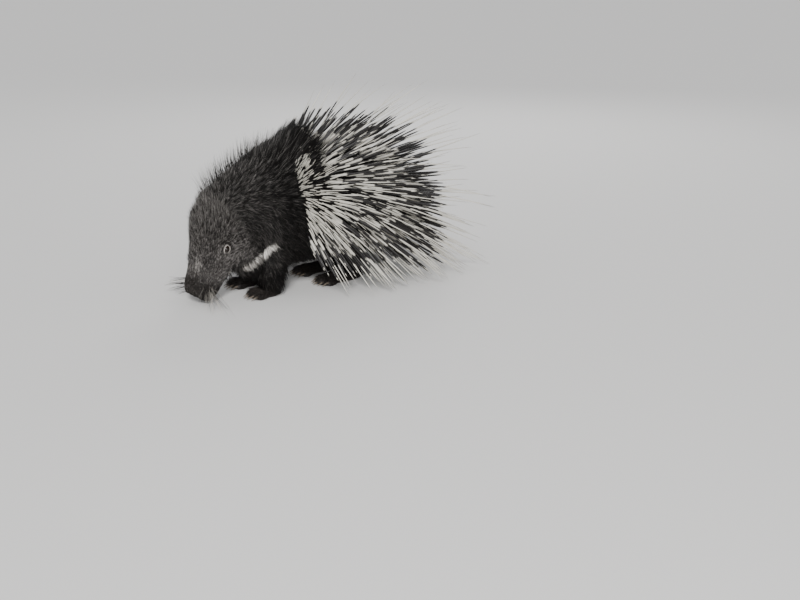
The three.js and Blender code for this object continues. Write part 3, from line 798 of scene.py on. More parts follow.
def hair_tone_group():
    """Colour along a hair from root to tip, with some hairs lighter than others."""
    tree = bpy.data.node_groups.new("hair_tone", "ShaderNodeTree")
    for name, value in (("Root", (0.02, 0.018, 0.016, 1)), ("Tip", (0.2, 0.18, 0.16, 1))):
        made = tree.interface.new_socket(name=name, in_out="INPUT", socket_type="NodeSocketColor")
        made.default_value = value
    for name, value in (("Tip start", 0.6), ("Tip end", 0.95), ("Light hairs", 0.3)):
        made = tree.interface.new_socket(name=name, in_out="INPUT", socket_type="NodeSocketFloat")
        made.default_value = value
    tree.interface.new_socket(name="Colour", in_out="OUTPUT", socket_type="NodeSocketColor")
    given = add(tree, "NodeGroupInput")
    result = add(tree, "NodeGroupOutput")
    along = add(tree, "ShaderNodeAttribute", attribute_name="along")
    tone = add(tree, "ShaderNodeAttribute", attribute_name="tone")
    climb = add(tree, "ShaderNodeMapRange")
    tree.links.new(along.outputs["Fac"], climb.inputs["Value"])
    tree.links.new(given.outputs["Tip start"], climb.inputs["From Min"])
    tree.links.new(given.outputs["Tip end"], climb.inputs["From Max"])
    chosen = add(tree, "ShaderNodeMath", operation="LESS_THAN")
    tree.links.new(tone.outputs["Fac"], chosen.inputs[0])
    tree.links.new(given.outputs["Light hairs"], chosen.inputs[1])
    share = add(tree, "ShaderNodeMath", operation="MULTIPLY")
    tree.links.new(climb.outputs[0], share.inputs[0])
    tree.links.new(chosen.outputs[0], share.inputs[1])
    blend = add(tree, "ShaderNodeMix", data_type="RGBA")
    tree.links.new(share.outputs[0], blend.inputs["Factor"])
    tree.links.new(given.outputs["Root"], blend.inputs[6])
    tree.links.new(given.outputs["Tip"], blend.inputs[7])
    vary = add(tree, "ShaderNodeHueSaturation")
    spread = add(tree, "ShaderNodeMapRange")
    spread.inputs["To Min"].default_value = 0.45
    spread.inputs["To Max"].default_value = 1.6
    tree.links.new(tone.outputs["Fac"], spread.inputs["Value"])
    tree.links.new(spread.outputs[0], vary.inputs["Value"])
    tree.links.new(blend.outputs[2], vary.inputs["Color"])
    tree.links.new(vary.outputs[0], result.inputs[0])
    return tree


HAIR_TONE = hair_tone_group()


def hair_finish(name, root, tip, tip_start, tip_end, light, roughness):
    material, tree, shader = new_material(name)
    group = add(tree, "ShaderNodeGroup", node_tree=HAIR_TONE)
    group.inputs["Root"].default_value = (*root, 1)
    group.inputs["Tip"].default_value = (*tip, 1)
    group.inputs["Tip start"].default_value = tip_start
    group.inputs["Tip end"].default_value = tip_end
    group.inputs["Light hairs"].default_value = light
    tree.links.new(group.outputs[0], shader.inputs["Base Color"])
    shader.inputs["Roughness"].default_value = roughness
    shader.inputs["Specular IOR Level"].default_value = 0.22
    return material


IVORY = (0.72, 0.69, 0.61)
BLACK_BROWN = (0.010, 0.008, 0.007)


def grain_of(tree, scale):
    """Fine noise on the piece's own coordinates."""
    where = add(tree, "ShaderNodeTexCoord")
    grain = add(tree, "ShaderNodeTexNoise")
    grain.inputs["Scale"].default_value = scale
    tree.links.new(where.outputs["Object"], grain.inputs["Vector"])
    return grain


def two_tones(tree, grain, dark, light):
    ramp = add(tree, "ShaderNodeValToRGB")
    ramp.color_ramp.elements[0].color = (*dark, 1)
    ramp.color_ramp.elements[1].color = (*light, 1)
    tree.links.new(grain.outputs["Fac"], ramp.inputs["Fac"])
    return ramp


def roughen(tree, shader, grain, strength, distance):
    bump = add(tree, "ShaderNodeBump")
    bump.inputs["Strength"].default_value = strength
    bump.inputs["Distance"].default_value = distance
    tree.links.new(grain.outputs["Fac"], bump.inputs["Height"])
    tree.links.new(bump.outputs[0], shader.inputs["Normal"])


def quill_finish(name, bands, roughness=0.38):
    """Banded horn: pairs of place along the quill and colour, each quill's bands a little moved."""
    material, tree, shader = new_material(name)
    along = add(tree, "ShaderNodeAttribute", attribute_name="along")
    tone = add(tree, "ShaderNodeAttribute", attribute_name="tone")
    move = add(tree, "ShaderNodeMapRange")
    move.inputs["To Min"].default_value = -0.075
    move.inputs["To Max"].default_value = 0.075
    tree.links.new(tone.outputs["Fac"], move.inputs["Value"])
    bell = add(tree, "ShaderNodeMath", operation="PINGPONG")
    tree.links.new(along.outputs["Fac"], bell.inputs[0])
    bell.inputs[1].default_value = 0.5
    shift = add(tree, "ShaderNodeMath", operation="MULTIPLY_ADD")
    tree.links.new(move.outputs[0], shift.inputs[0])
    tree.links.new(bell.outputs[0], shift.inputs[1])
    tree.links.new(along.outputs["Fac"], shift.inputs[2])
    ramp = add(tree, "ShaderNodeValToRGB")
    stops = ramp.color_ramp.elements
    stops[0].position = 0.0
    stops[0].color = (*bands[0][1], 1)
    stops[1].position = 1.0
    stops[1].color = (*bands[-1][1], 1)
    for (place, colour), (_, before) in zip(bands[1:], bands[:-1]):
        low = stops.new(max(0.001, place - 0.012))
        low.color = (*before, 1)
        high = stops.new(min(0.999, place + 0.012))
        high.color = (*colour, 1)
    tree.links.new(shift.outputs[0], ramp.inputs["Fac"])
    grain = grain_of(tree, 900)
    stain = add(tree, "ShaderNodeMix", data_type="RGBA", blend_type="MULTIPLY")
    stain.inputs["Factor"].default_value = 0.35
    tree.links.new(ramp.outputs["Color"], stain.inputs[6])
    tree.links.new(grain.outputs["Fac"], stain.inputs[7])
    tree.links.new(stain.outputs[2], shader.inputs["Base Color"])
    roughen(tree, shader, grain, 0.25, 0.0004)
    shader.inputs["Roughness"].default_value = roughness
    return material


def skin_finish():
    """Dark bare skin, with the rims of the lids painted pale as a highlight where they glint."""
    material, tree, shader = new_material("bare_skin")
    grain = grain_of(tree, 700)
    grain.inputs["Detail"].default_value = 4
    ramp = two_tones(tree, grain, (0.010, 0.008, 0.007), (0.050, 0.042, 0.038))
    lid = add(tree, "ShaderNodeAttribute", attribute_name="lid")
    blend = add(tree, "ShaderNodeMix", data_type="RGBA")
    # painted highlight: the pale colour of the glinting lid rims
    blend.inputs[7].default_value = (0.50, 0.46, 0.42, 1)
    tree.links.new(lid.outputs["Fac"], blend.inputs["Factor"])
    tree.links.new(ramp.outputs["Color"], blend.inputs[6])
    tree.links.new(blend.outputs[2], shader.inputs["Base Color"])
    roughen(tree, shader, grain, 0.6, 0.0006)
    shader.inputs["Roughness"].default_value = 0.6
    return material


def claw_finish():
    material, tree, shader = new_material("claw_horn")
    ramp = two_tones(tree, grain_of(tree, 350), (0.06, 0.045, 0.035), (0.30, 0.25, 0.19))
    tree.links.new(ramp.outputs["Color"], shader.inputs["Base Color"])
    shader.inputs["Roughness"].default_value = 0.42
    return material


def eye_finish():
    material, tree, shader = new_material("wet_eye")
    ramp = two_tones(tree, grain_of(tree, 420), (0.004, 0.003, 0.002), (0.020, 0.012, 0.008))
    tree.links.new(ramp.outputs["Color"], shader.inputs["Base Color"])
    shader.inputs["Roughness"].default_value = 0.10
    shader.inputs["Specular IOR Level"].default_value = 0.22
    shader.inputs["Coat Weight"].default_value = 0.18
    shader.inputs["Coat Roughness"].default_value = 0.03
    return material


# Quills of the back, in rows from the shoulders to the rump

def quill_back(x):
    return np.clip((x - QUILL_FIRST) / (QUILL_LAST - QUILL_FIRST), 0, 1)


def quill_rise(x, degrees):
    """Angle above the level, in degrees: raised on the ridge, hanging low on the flanks."""
    back = quill_back(x)
    ridge = mix(*RIDGE_RISE, back**0.6)
    flank = mix(*FLANK_RISE, back**0.7)
    return mix(ridge, flank, smoothstep(14, 108, np.abs(degrees)))


def quill_length(x, degrees, slender):
    along = smoothstep(-24, 90, x)
    low = smoothstep(60, 116, np.abs(degrees))
    top = np.where(slender, mix(*SLENDER_LENGTH, along), mix(*THICK_LENGTH, along))
    rump = mix(1, mix(*RUMP_LENGTH, low), smoothstep(120, 236, x))
    return top * rump * mix(1, 0.85, low)


def quill_front(degrees):
    """Where the first quills stand: further back on the ridge than on the flanks."""
    return QUILL_FIRST + RIDGE_SETBACK * (1 - smoothstep(20, 80, np.abs(degrees)))


def quill_rows(seed, row_step, step, jitter=0.75):
    random = np.random.default_rng(seed)
    xs, degrees = [], []
    x = QUILL_FIRST
    row = 0
    while x <= QUILL_LAST:
        here = trunk_row(place_at_x(x))
        ahead = trunk_row(place_at_x(x + 4))
        advance = row_step / math.hypot(1, float(ahead["high"] - here["high"]) / 4)
        reach = math.radians(QUILL_LOWEST) * float(here["wide"] + here["high"]) / 2
        count = max(6, round(2 * reach / step))
        share = (np.arange(count) + 0.5 * (row % 2) + (random.random(count) - 0.5) * jitter + 0.25) / count
        degrees.append(mix(-QUILL_LOWEST, QUILL_LOWEST, np.clip(share, 0, 1)))
        xs.append(x + (random.random(count) - 0.5) * advance * jitter)
        x += advance
        row += 1
    xs, degrees = np.concatenate(xs), np.concatenate(degrees)
    behind = xs >= quill_front(degrees) - row_step
    return random, xs[behind], degrees[behind]


def quill_aim(random, x, degrees, raised=0.0, pitch_spread=14.0, fan_spread=12.0):
    count = len(x)
    raised = raised * (1 - smoothstep(20, 90, np.abs(degrees)))
    rise = np.radians(quill_rise(x, degrees) + raised + (random.random(count) - 0.5) * pitch_spread)
    splay = mix(*QUILL_SPLAY, quill_back(x)) * np.sin(np.radians(degrees))
    splay = splay + np.radians(fan_spread) * (random.random(count) - 0.5)
    return unit(np.column_stack([np.cos(rise), splay, np.sin(rise)]))


def keep_above_floor(points, aim, length, droop):
    """Shorten what would reach the floor, and pull in what would leave the solids' box."""
    for _ in range(24):
        tip = points + aim * length[:, None]
        tip[:, 2] -= droop
        low = tip[:, 2] < FLOOR_CLEARANCE
        framed = tip * MM + SHIFT
        wide = ((framed < np.array(CAD_BOX[0]) - 0.006) | (framed > np.array(CAD_BOX[1]) + 0.006)).any(axis=1)
        trim = low | wide
        if not trim.any():
            break
        length = np.where(trim, length * 0.94, length)
        droop = np.where(trim, droop * 0.88, droop)
    return length, droop


def set_quills(kit, name, parts, wobble=0.0, tuft=None):
    random, points, aim, length, width, droop = parts
    length, droop = keep_above_floor(points, aim, length, droop)
    out = unit(np.cross(np.cross(aim, [0, 0, 1]), aim) + 1e-6)
    uv = kit.roots.nearest_uv(points)
    shape = kit.tufts[tuft or name]
    return grow(name, shape, kit.finishes[name], random, points, aim, out, uv, length, width, droop, wobble)


def make_quills(kit):
    """The long quills, stout ones and slender ones that bend under their weight."""
    random, x, degrees = quill_rows(41, 11.0, 10.8)
    slender = random.random(len(x)) < mix(0.22, 0.42, smoothstep(20, 70, np.abs(degrees)))
    points, _ = trunk_point(place_at_x(x), degrees, -QUILL_SUNK)
    aim = quill_aim(random, x, degrees, np.where(slender, 10.0, 0.0))
    length = quill_length(x, degrees, slender) * mix(0.74, 1.06, random.random(len(x))) + QUILL_SUNK
    pieces = []
    for name, chosen, radius, sag in (
        ("quills_thick", ~slender, THICK_RADIUS, 0.0),
        ("quills_slender", slender, SLENDER_RADIUS, SLENDER_SAG),
    ):
        size = radius * mix(0.8, 1.12, random.random(chosen.sum()))
        droop = sag * length[chosen] ** 2 * mix(0.1, 1.1, random.random(chosen.sum()))
        parts = (random, points[chosen], aim[chosen], length[chosen], size, droop)
        pieces.append(set_quills(kit, name, parts))
    return pieces


def make_under_quills(kit, random, x, degrees):
    """Stiff short quills that fill the gaps between the long ones."""
    points, _ = trunk_point(place_at_x(x), degrees, -5.0)
    aim = unit(quill_aim(random, x, degrees, 0.0, 22, 22) + np.array([0.12, 0, -0.06]))
    length = mix(52, 96, smoothstep(-10, 120, x)) * mix(0.7, 1.15, random.random(len(x)))
    size = 1.15 * mix(0.8, 1.2, random.random(len(x)))
    return set_quills(kit, "quills_under", (random, points, aim, length, size, 0 * x), 0.06)


def make_front_quills(kit, random):
    """The starburst of short white quills at the shoulders' edge."""
    count = 720
    degrees = np.sign(random.random(count) - 0.5) * (6 + 88 * random.random(count) ** 0.7)
    forward = 6 + 14 * np.exp(-(((np.abs(degrees) - 44) / 24) ** 2))
    x = quill_front(degrees) - forward + 38 * random.random(count) ** 1.5
    points, out = trunk_point(place_at_x(x), degrees, -4.0)
    starburst = np.exp(-(((np.abs(degrees) - 56) / 26) ** 2))
    ahead = 1 - smoothstep(0, 22, x - quill_front(degrees))
    aim = unit(quill_aim(random, x, degrees, 0.0, 30, 26) + out * (0.25 + 0.9 * starburst)[:, None])
    aim = unit(aim - np.array([1.0, 0, 0]) * (0.5 * ahead * starburst)[:, None])
    length = mix(34, 74, smoothstep(0, 26, x - quill_front(degrees))) * mix(0.7, 1.25, random.random(count))
    size = 1.25 * mix(0.7, 1.15, random.random(count))
    return set_quills(kit, "quills_front", (random, points, aim, length, size, 0 * x), 0.05)


def make_short_quills(kit):
    random, x, degrees = quill_rows(77, 9.0, 9.5, 0.9)
    under = make_under_quills(kit, random, x, degrees)
    return [under, make_front_quills(kit, random), make_rattle_quills(kit)]


def make_rattle_quills(kit):
    """The brush of short pale hollow quills at the end of the tail."""
    random = np.random.default_rng(52)
    count = 44
    angle = 2 * math.pi * random.random(count)
    ring = np.sqrt(random.random(count))
    side, up = ring * np.sin(angle), ring * np.cos(angle)
    points = np.column_stack([258 + 12 * random.random(count), 8 * side, 84 + 8 * up])
    aim = unit(np.column_stack([np.full(count, 0.86), 0.34 * side, -0.62 + 0.34 * up]))
    length = 50 * mix(0.75, 1.1, random.random(count))
    size = 1.9 * mix(0.8, 1.15, random.random(count))
    return set_quills(kit, "quills_rattle", (random, points, aim, length, size, 0 * length))


# Coats of hair on the skin

Kit = namedtuple("Kit", "roots tufts finishes")
Spots = namedtuple("Spots", "random points out uv")

# Number of tufts, radius of a hair and depth of its root in millimetres, and how far the hairs stray
Coat = namedtuple("Coat", "tuft finish count seed radius sunk stray")
COATS = {
    "face_fur": Coat("hair", "face", 20500, 5, 0.36, 0.6, 0.2),
    "muzzle_fur": Coat("hair", "muzzle", 6500, 8, 0.36, 0.6, 0.2),
    "bridge_fur": Coat("hair", "bridge", 120, 9, 0.36, 0.0, 0.1),
    # painted highlight: pale hair put where the eyes' glints fall
    "eye_marks": Coat("hair", "collar", 420, 12, 0.36, 0.0, 0.1),
    "jowl_fringe": Coat("hair", "neck", 4200, 10, 0.5, 1.0, 0.16),
    "crown_fur": Coat("hair", "crown", 12000, 6, 0.45, 0.6, 0.16),
    "shoulder_bristles": Coat("bristle", "bristle", 19000, 15, 0.6, 1.0, 0.12),
    "neck_fur": Coat("hair", "neck", 21500, 16, 0.5, 1.0, 0.16),
    "guard_hairs": Coat("hair", "guard", 3400, 17, 0.34, 0.0, 0.16),
    "throat_collar": Coat("hair", "collar", 1300, 31, 0.55, 0.5, 0.16),
    "under_fur": Coat("bristle", "under", 16000, 25, 0.6, 1.0, 0.2),
    "leg_fur": Coat("bristle", "leg", 15000, 26, 0.55, 1.0, 0.16),
    "chest_fringe": Coat("bristle", "leg", 5200, 29, 0.5, 1.0, 0.14),
    "foot_fur": Coat("hair", "foot", 9000, 27, 0.4, 0.5, 0.14),
}


def spots_for(kit, name, region):
    coat = COATS[name]
    return Spots(*kit.roots.scatter(coat.count, coat.seed, region))


def uneven(spots, low, high):
    """A share of its own for each hair."""
    return mix(low, high, spots.random.random(len(spots.points)))


def lay_coat(kit, name, spots, aim, length, radius=None):
    """Grow one coat of hair as its line in the table says."""
    coat = COATS[name]
    radius = coat.radius if radius is None else radius
    roots = spots.points - spots.out * coat.sunk
    tuft, finish = kit.tufts[coat.tuft], kit.finishes[coat.finish]
    return grow(name, tuft, finish, spots.random, roots, aim, spots.out, spots.uv, length, radius,
                wobble=coat.stray)


def flow(aim_way, out, lift):
    """Direction of hairs that lie along a way and stand off the skin by an angle."""
    along = unit(aim_way - out * np.einsum("ij,ij->i", aim_way, out)[:, None])
    angle = np.broadcast_to(np.radians(lift), len(out))[:, None]
    return unit(along * np.cos(angle) + out * np.sin(angle))


def lie_along(way, out, lift):
    """The same for one way that all the hairs share."""
    return flow(np.tile(way, (len(out), 1)), out, lift)


def top_share(points, upper, lower):
    """One on the ridge of the trunk, and nought below an angle round its side."""
    return 1 - smoothstep(upper, lower, np.abs(trunk_degrees(points)))


def head_flow(points):
    local = head_places(points)
    back = np.tile(head_way(1, 0, 0), (len(points), 1))
    side = np.sign(local[:, 1])[:, None] * head_way(0, 1, 0)
    down = head_way(0, 0, -1)
    cheek = smoothstep(60, 110, local[:, 0]) * smoothstep(16, -20, local[:, 2])
    crown = smoothstep(90, 130, local[:, 0]) * smoothstep(0, 30, local[:, 2])
    way = back + side * 0.25 * cheek[:, None] - 0.25 * down * crown[:, None]
    return unit(way + np.array([0.35, 0, 0]) * cheek[:, None])


# Hair of the head

def muzzle_end(points):
    return 1 - smoothstep(20, 38, head_places(points)[:, 0])


def on_face(points):
    return head_share(points) * eye_clear(points) * (1 - 0.9 * muzzle_end(points))


def on_muzzle(points):
    return head_share(points) * eye_clear(points) * muzzle_end(points)


def on_bridge(points):
    """A pale streak on the left of the nose's bridge."""
    local = head_places(points)
    along = np.exp(-(((local[:, 0] - 52) / 11) ** 2))
    return head_share(points) * along * np.exp(-(((local[:, 1] + 15) / 4.5) ** 2)) * (local[:, 2] > 10)


def eye_glint_share(points):
    """Painted highlights: pale hair above and in front of each eye, standing for the glints there."""
    local = head_places(points)
    share = np.zeros(len(points))
    for back, rise, long, high in ((2, 12.5, 2.2, 3.6), (-10, 9.5, 2.4, 3.2), (-4, 8.5, 5.0, 1.0)):
        a = (local[:, 0] - EYE_FROM - back) / long
        b = (local[:, 2] - EYE_RISE - rise) / high
        share = np.maximum(share, np.exp(-(a * a + b * b) * 1.6))
    return share * (np.abs(local[:, 1]) > 15) * head_share(points) * (share > 0.2)


def on_jowl(points):
    local = head_places(points)
    share = smoothstep(48, 80, local[:, 0]) * smoothstep(-14, -32, local[:, 2])
    return share * (points[:, 0] < -60) * (points[:, 2] > 16) * collar_clear(points)


def on_crown(points):
    local = head_places(points)
    top = smoothstep(0, 24, local[:, 2])
    share = smoothstep(70, 120, local[:, 0]) * 0.9 + (0.1 + 0.3 * top) * smoothstep(40, 76, local[:, 0])
    return head_share(points) * eye_clear(points) * share


def short_coat(kit, name, region):
    spots = spots_for(kit, name, region)
    back = head_places(spots.points)[:, 0]
    length = mix(4.0, 10.5, smoothstep(25, 105, back)) * uneven(spots, 0.7, 1.35)
    aim = flow(head_flow(spots.points), spots.out, mix(20, 34, smoothstep(40, 120, back)))
    radius = mix(0.36, 0.52, smoothstep(20, 100, back))
    return lay_coat(kit, name, spots, aim, length + COATS[name].sunk, radius)


# Pale tufts: the streak on the bridge, and the painted glints round the eyes.
def pale_patches(kit, name, region, size):
    spots = spots_for(kit, name, region)
    aim = flow(head_flow(spots.points), spots.out, 30)
    return lay_coat(kit, name, spots, aim, size * uneven(spots, 0.6, 1.2))


def jowl_fringe(kit):
    spots = spots_for(kit, "jowl_fringe", on_jowl)
    length = np.minimum(26 * uneven(spots, 0.5, 1.2), spots.points[:, 2] - 6)
    return lay_coat(kit, "jowl_fringe", spots, lie_along([0.55, 0.0, -0.8], spots.out, 24), length)


def crown_fur(kit):
    spots = spots_for(kit, "crown_fur", on_crown)
    local = head_places(spots.points)
    top = smoothstep(-5, 30, local[:, 2])
    length = mix(11, 28, smoothstep(66, 130, local[:, 0]) * mix(0.45, 1, top)) * uneven(spots, 0.7, 1.25)
    aim = flow(head_flow(spots.points), spots.out, mix(22, 42, top))
    return lay_coat(kit, "crown_fur", spots, aim, length)


def make_face_fur(kit):
    return [
        short_coat(kit, "face_fur", on_face),
        short_coat(kit, "muzzle_fur", on_muzzle),
        pale_patches(kit, "bridge_fur", on_bridge, 9.0),
        pale_patches(kit, "eye_marks", eye_glint_share, 4.6),
        jowl_fringe(kit),
        crown_fur(kit),
    ]


# Hair of the neck and shoulders

def trunk_flow(points):
    """The bristles run back from the neck and turn down along the flanks."""
    way = np.tile([1.0, 0.0, 0.0], (len(points), 1))
    way[:, 2] = -0.9 * smoothstep(30, 120, np.abs(trunk_degrees(points)))
    return unit(way)


def front_share(points):
    edge = points[:, 0] - quill_front(trunk_degrees(points))
    return (1 - head_share(points)) * (1 - leg_share(points)) * (1 - smoothstep(-8, 4, edge))


def on_nape(points):
    rear = smoothstep(-112, -50, points[:, 0]) * smoothstep(120, 40, np.abs(trunk_degrees(points)))
    return front_share(points) * (0.12 + rear)


def on_neck(points):
    return front_share(points) * (1 - 0.85 * smoothstep(-66, -34, points[:, 0]))


def shoulder_bristles(kit):
    spots = spots_for(kit, "shoulder_bristles", on_nape)
    points = spots.points
    top = top_share(points, 20, 100)
    rear = smoothstep(-100, -10, points[:, 0])
    near_quills = smoothstep(-26, 12, points[:, 0]) * top
    length = mix(22, 38, top) * mix(0.8, 1.1, rear) * uneven(spots, 0.65, 1.2)
    length = length * mix(1, 1.7, near_quills)
    aim = flow(trunk_flow(points), spots.out, mix(20, 38, top * rear) + 12 * near_quills)
    return lay_coat(kit, "shoulder_bristles", spots, aim, length)


def neck_fur(kit):
    spots = spots_for(kit, "neck_fur", on_neck)
    top = top_share(spots.points, 20, 100)
    length = mix(13, 24, top) * uneven(spots, 0.6, 1.25)
    aim = flow(trunk_flow(spots.points), spots.out, mix(20, 34, top))
    return lay_coat(kit, "neck_fur", spots, aim, length)


def guard_hairs(kit):
    spots = spots_for(kit, "guard_hairs", front_share)
    top = top_share(spots.points, 20, 95)
    length = mix(24, 54, top) * uneven(spots, 0.65, 1.15)
    aim = flow(trunk_flow(spots.points), spots.out, mix(28, 58, top))
    return lay_coat(kit, "guard_hairs", spots, aim, length)


def make_bristles(kit):
    return [shoulder_bristles(kit), neck_fur(kit), guard_hairs(kit)]


def throat_line(share):
    """The pale collar: from under the jaw, round the throat, up to the side of the chest."""
    stops = np.array([(-127, 39, 46), (-115, 46, 59), (-101, 52, 73), (-82, 61, 91), (-64, 68, 109)])
    return np.column_stack([
        np.interp(share, np.linspace(0, 1, len(stops)), stops[:, k]) for k in range(3)
    ])


def collar_clear(points):
    """Nought along the pale collar, so that no dark hair covers it."""
    line = throat_line(np.linspace(0, 1, 30))
    mirrored = points * [1, 0, 1]
    mirrored[:, 1] = np.abs(points[:, 1])
    gap = np.min(np.linalg.norm(mirrored[:, None] - line[None], axis=2), axis=1)
    return smoothstep(7, 13, gap)


def make_throat_collar(kit):
    coat = COATS["throat_collar"]
    random = np.random.default_rng(coat.seed)
    share = random.random(coat.count) ** 0.75
    points = throat_line(share)
    side = np.where(np.arange(coat.count) % 2 == 0, -1.0, 1.0)
    points[:, 1] *= side
    spread = (random.random((coat.count, 2)) - 0.5) * [9, 13]
    points[:, 0] += spread[:, 0] + spread[:, 1] * 0.45
    points[:, 2] += spread[:, 0] - spread[:, 1] * 0.35
    spots = Spots(random, *kit.roots.nearest_surface(points))
    way = np.column_stack([np.full(coat.count, 0.8), side * 0.2, np.full(coat.count, -0.75)])
    length = 16 * uneven(spots, 0.6, 1.25) * mix(0.5, 1, smoothstep(0, 0.4, share))
    return lay_coat(kit, "throat_collar", spots, flow(way, spots.out, 38), length)


# Hair of the back, belly, legs and feet

def below_quills(points):
    rest = (1 - head_share(points)) * (1 - front_share(points)) * (1 - quilled_share(points))
    return rest * (1 - foot_share(points))


def on_chest(points):
    ahead = 1 - smoothstep(-40, 0, points[:, 0])
    low = smoothstep(10, 24, points[:, 2]) * (1 - smoothstep(62, 90, points[:, 2]))
    return (1 - head_share(points)) * ahead * low


def on_feet(points):
    return foot_share(points) * (points[:, 2] > 3.0) * (1 - 0.7 * toe_front(points))


def under_fur(kit):
    spots = spots_for(kit, "under_fur", quilled_share)
    aim = quill_aim(spots.random, spots.points[:, 0], trunk_degrees(spots.points), 0.0, 20, 20)
    return lay_coat(kit, "under_fur", spots, aim, 30 * uneven(spots, 0.6, 1.2))


def leg_fur(kit):
    spots = spots_for(kit, "leg_fur", below_quills)
    leg = leg_share(spots.points)
    aim = lie_along([0.45, 0.0, -1.0], spots.out, mix(24, 20, leg))
    length = mix(24, 15, leg) * uneven(spots, 0.7, 1.2)
    length = np.minimum(length, np.maximum(spots.points[:, 2] - 2, 4))
    return lay_coat(kit, "leg_fur", spots, aim, length)


def chest_fringe(kit):
    spots = spots_for(kit, "chest_fringe", on_chest)
    length = 34 * uneven(spots, 0.6, 1.2)
    length = np.minimum(length, np.maximum(spots.points[:, 2] - 3, 5))
    return lay_coat(kit, "chest_fringe", spots, lie_along([0.25, 0.0, -1.0], spots.out, 26), length)


def foot_fur(kit):
    spots = spots_for(kit, "foot_fur", on_feet)
    fore = spots.points[:, 0] < -20
    length = np.where(fore, 15, 10) * uneven(spots, 0.5, 1.25)
    length = np.minimum(length, np.maximum(spots.points[:, 2] * 1.5, 1.2))
    return lay_coat(kit, "foot_fur", spots, lie_along([-1.0, 0.0, -0.15], spots.out, 20), length)


def make_body_fur(kit):
    return [under_fur(kit), leg_fur(kit), chest_fringe(kit), foot_fur(kit)]


# Claws, eyes, ears and whiskers

def make_claws(finish):
    verts, faces, nodes = [], [], []
    for foot in FEET:
        paw = PAWS[foot["kind"]]
        for number, (x, y) in enumerate(toe_places(foot), start=1):
            nodes.append(f"claw_{foot['kind']}_{foot['side']}_{number}")
            root_x = x - paw["toe"] + 6
            rings = []
            for t in np.linspace(0, 1, 9):
                radius = 2.7 * (1 - t) ** 0.55 * (1 - 0.25 * t) + 0.12
                centre = np.array([root_x - 16.5 * t, y, 6.4 - 4.8 * t**1.7])
                angles = np.linspace(0, 2 * math.pi, 12, endpoint=False)
                ring = np.column_stack([
                    0.25 * radius * np.sin(angles),
                    0.72 * radius * np.cos(angles),
                    radius * np.sin(angles) * np.where(np.sin(angles) < 0, 0.6, 1.0),
                ])
                rings.append(centre + ring)
            part_verts, part_faces = loft(np.array(rings))
            start = len(verts)
            verts.extend(part_verts)
            faces.extend(tuple(i + start for i in face) for face in part_faces)
    piece = new_object("claws", mesh_from("claws", to_frame(np.array(verts)), faces))
    fix_normals(piece.data)
    shade_smooth(piece.data)
    piece.data.materials.append(finish)
    finish_piece(piece, "claw", *nodes)


def fix_normals(mesh):
    bm = bmesh.new()
    bm.from_mesh(mesh)
    bmesh.ops.recalc_face_normals(bm, faces=bm.faces)
    bm.to_mesh(mesh)
    bm.free()


def make_eyes(finish):
    for name, side in (("left", -1), ("right", 1)):
        centre = on_head(EYE_FROM, side * EYE_SIDE, EYE_RISE)
        verts, faces = ball((0, 0, 0), (1, 1, 1), segments=40, rows=28)
        verts = np.array(verts)
        bulge = 1 + 0.07 * smoothstep(0.75, 1.0, verts[:, 1] * side)
        points = (verts * EYE_RADIUS * bulge[:, None]) @ HEAD_TURN.T + centre
        piece = new_object(f"eyeball_{name}", mesh_from(f"eyeball_{name}", to_frame(points), faces))
        fix_normals(piece.data)
        shade_smooth(piece.data)
        piece.data.materials.append(finish)
        finish_piece(piece, "eye", f"eye_{name}")


def make_ears(finish):
    for name, side in (("left", -1), ("right", 1)):
        low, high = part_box(f"ear_{name}")
        centre = to_body((np.array(low) + np.array(high)) / 2)
        turn = HEAD_TURN @ turn_z(side * math.radians(62)) @ np.array(
            Matrix.Rotation(math.radians(-25), 3, "Y")
        )
        bm = bmesh.new()
        bmesh.ops.create_uvsphere(bm, u_segments=32, v_segments=20, radius=1)
        points = np.array([v.co[:] for v in bm.verts])
        front = points[:, 0] < -0.15
        radial = np.hypot(points[:, 1], points[:, 2])
        dish = np.where(front, 1 - 1.25 * (1 - radial**2), 1.0)
        shaped = np.column_stack([points[:, 0] * 5.6 * dish, points[:, 1] * 11.0, points[:, 2] * 15.0])
        shaped = shaped @ turn.T + centre
        for vert, co in zip(bm.verts, to_frame(shaped)):
            vert.co = co
        mesh = bpy.data.meshes.new(f"ear_cup_{name}")
        bm.to_mesh(mesh)
        bm.free()
        shade_smooth(mesh)
        mesh.materials.append(finish)
        piece = new_object(f"ear_cup_{name}", mesh)
        finish_piece(piece, "skin", f"ear_{name}")


def make_whiskers(kit):
    random = np.random.default_rng(88)
    for name, count, hand in (("whiskers_dark", 40, 1.0), ("whiskers_pale", 34, -1.0)):
        side = np.where(np.arange(count) % 4 == 0, -hand, hand)
        back = 8 + 20 * random.random(count)
        degrees = side * (70 + 50 * random.random(count))
        place = np.interp(back, SKULL["from"], np.linspace(0, 1, len(SKULL["from"])))
        points = skull_point(place, degrees, -2.5)
        out = unit(points - on_head(back, 0 * back, 0 * back))
        aim = unit(out + head_way(-0.35, 0, 0.1) * (0.2 + 0.5 * random.random((count, 1))))
        aim = unit(aim + np.array([-0.15, 0, 0.16]))
        length = mix(45, 105, random.random(count))
        droop = 0.0016 * length**2
        parts = (random, points, aim, length, np.full(count, 0.36 + 0.06 * hand), droop)
        finish_piece(set_quills(kit, name, parts, tuft="whisker"), "coat")


# The room for the picture: floor, light and camera

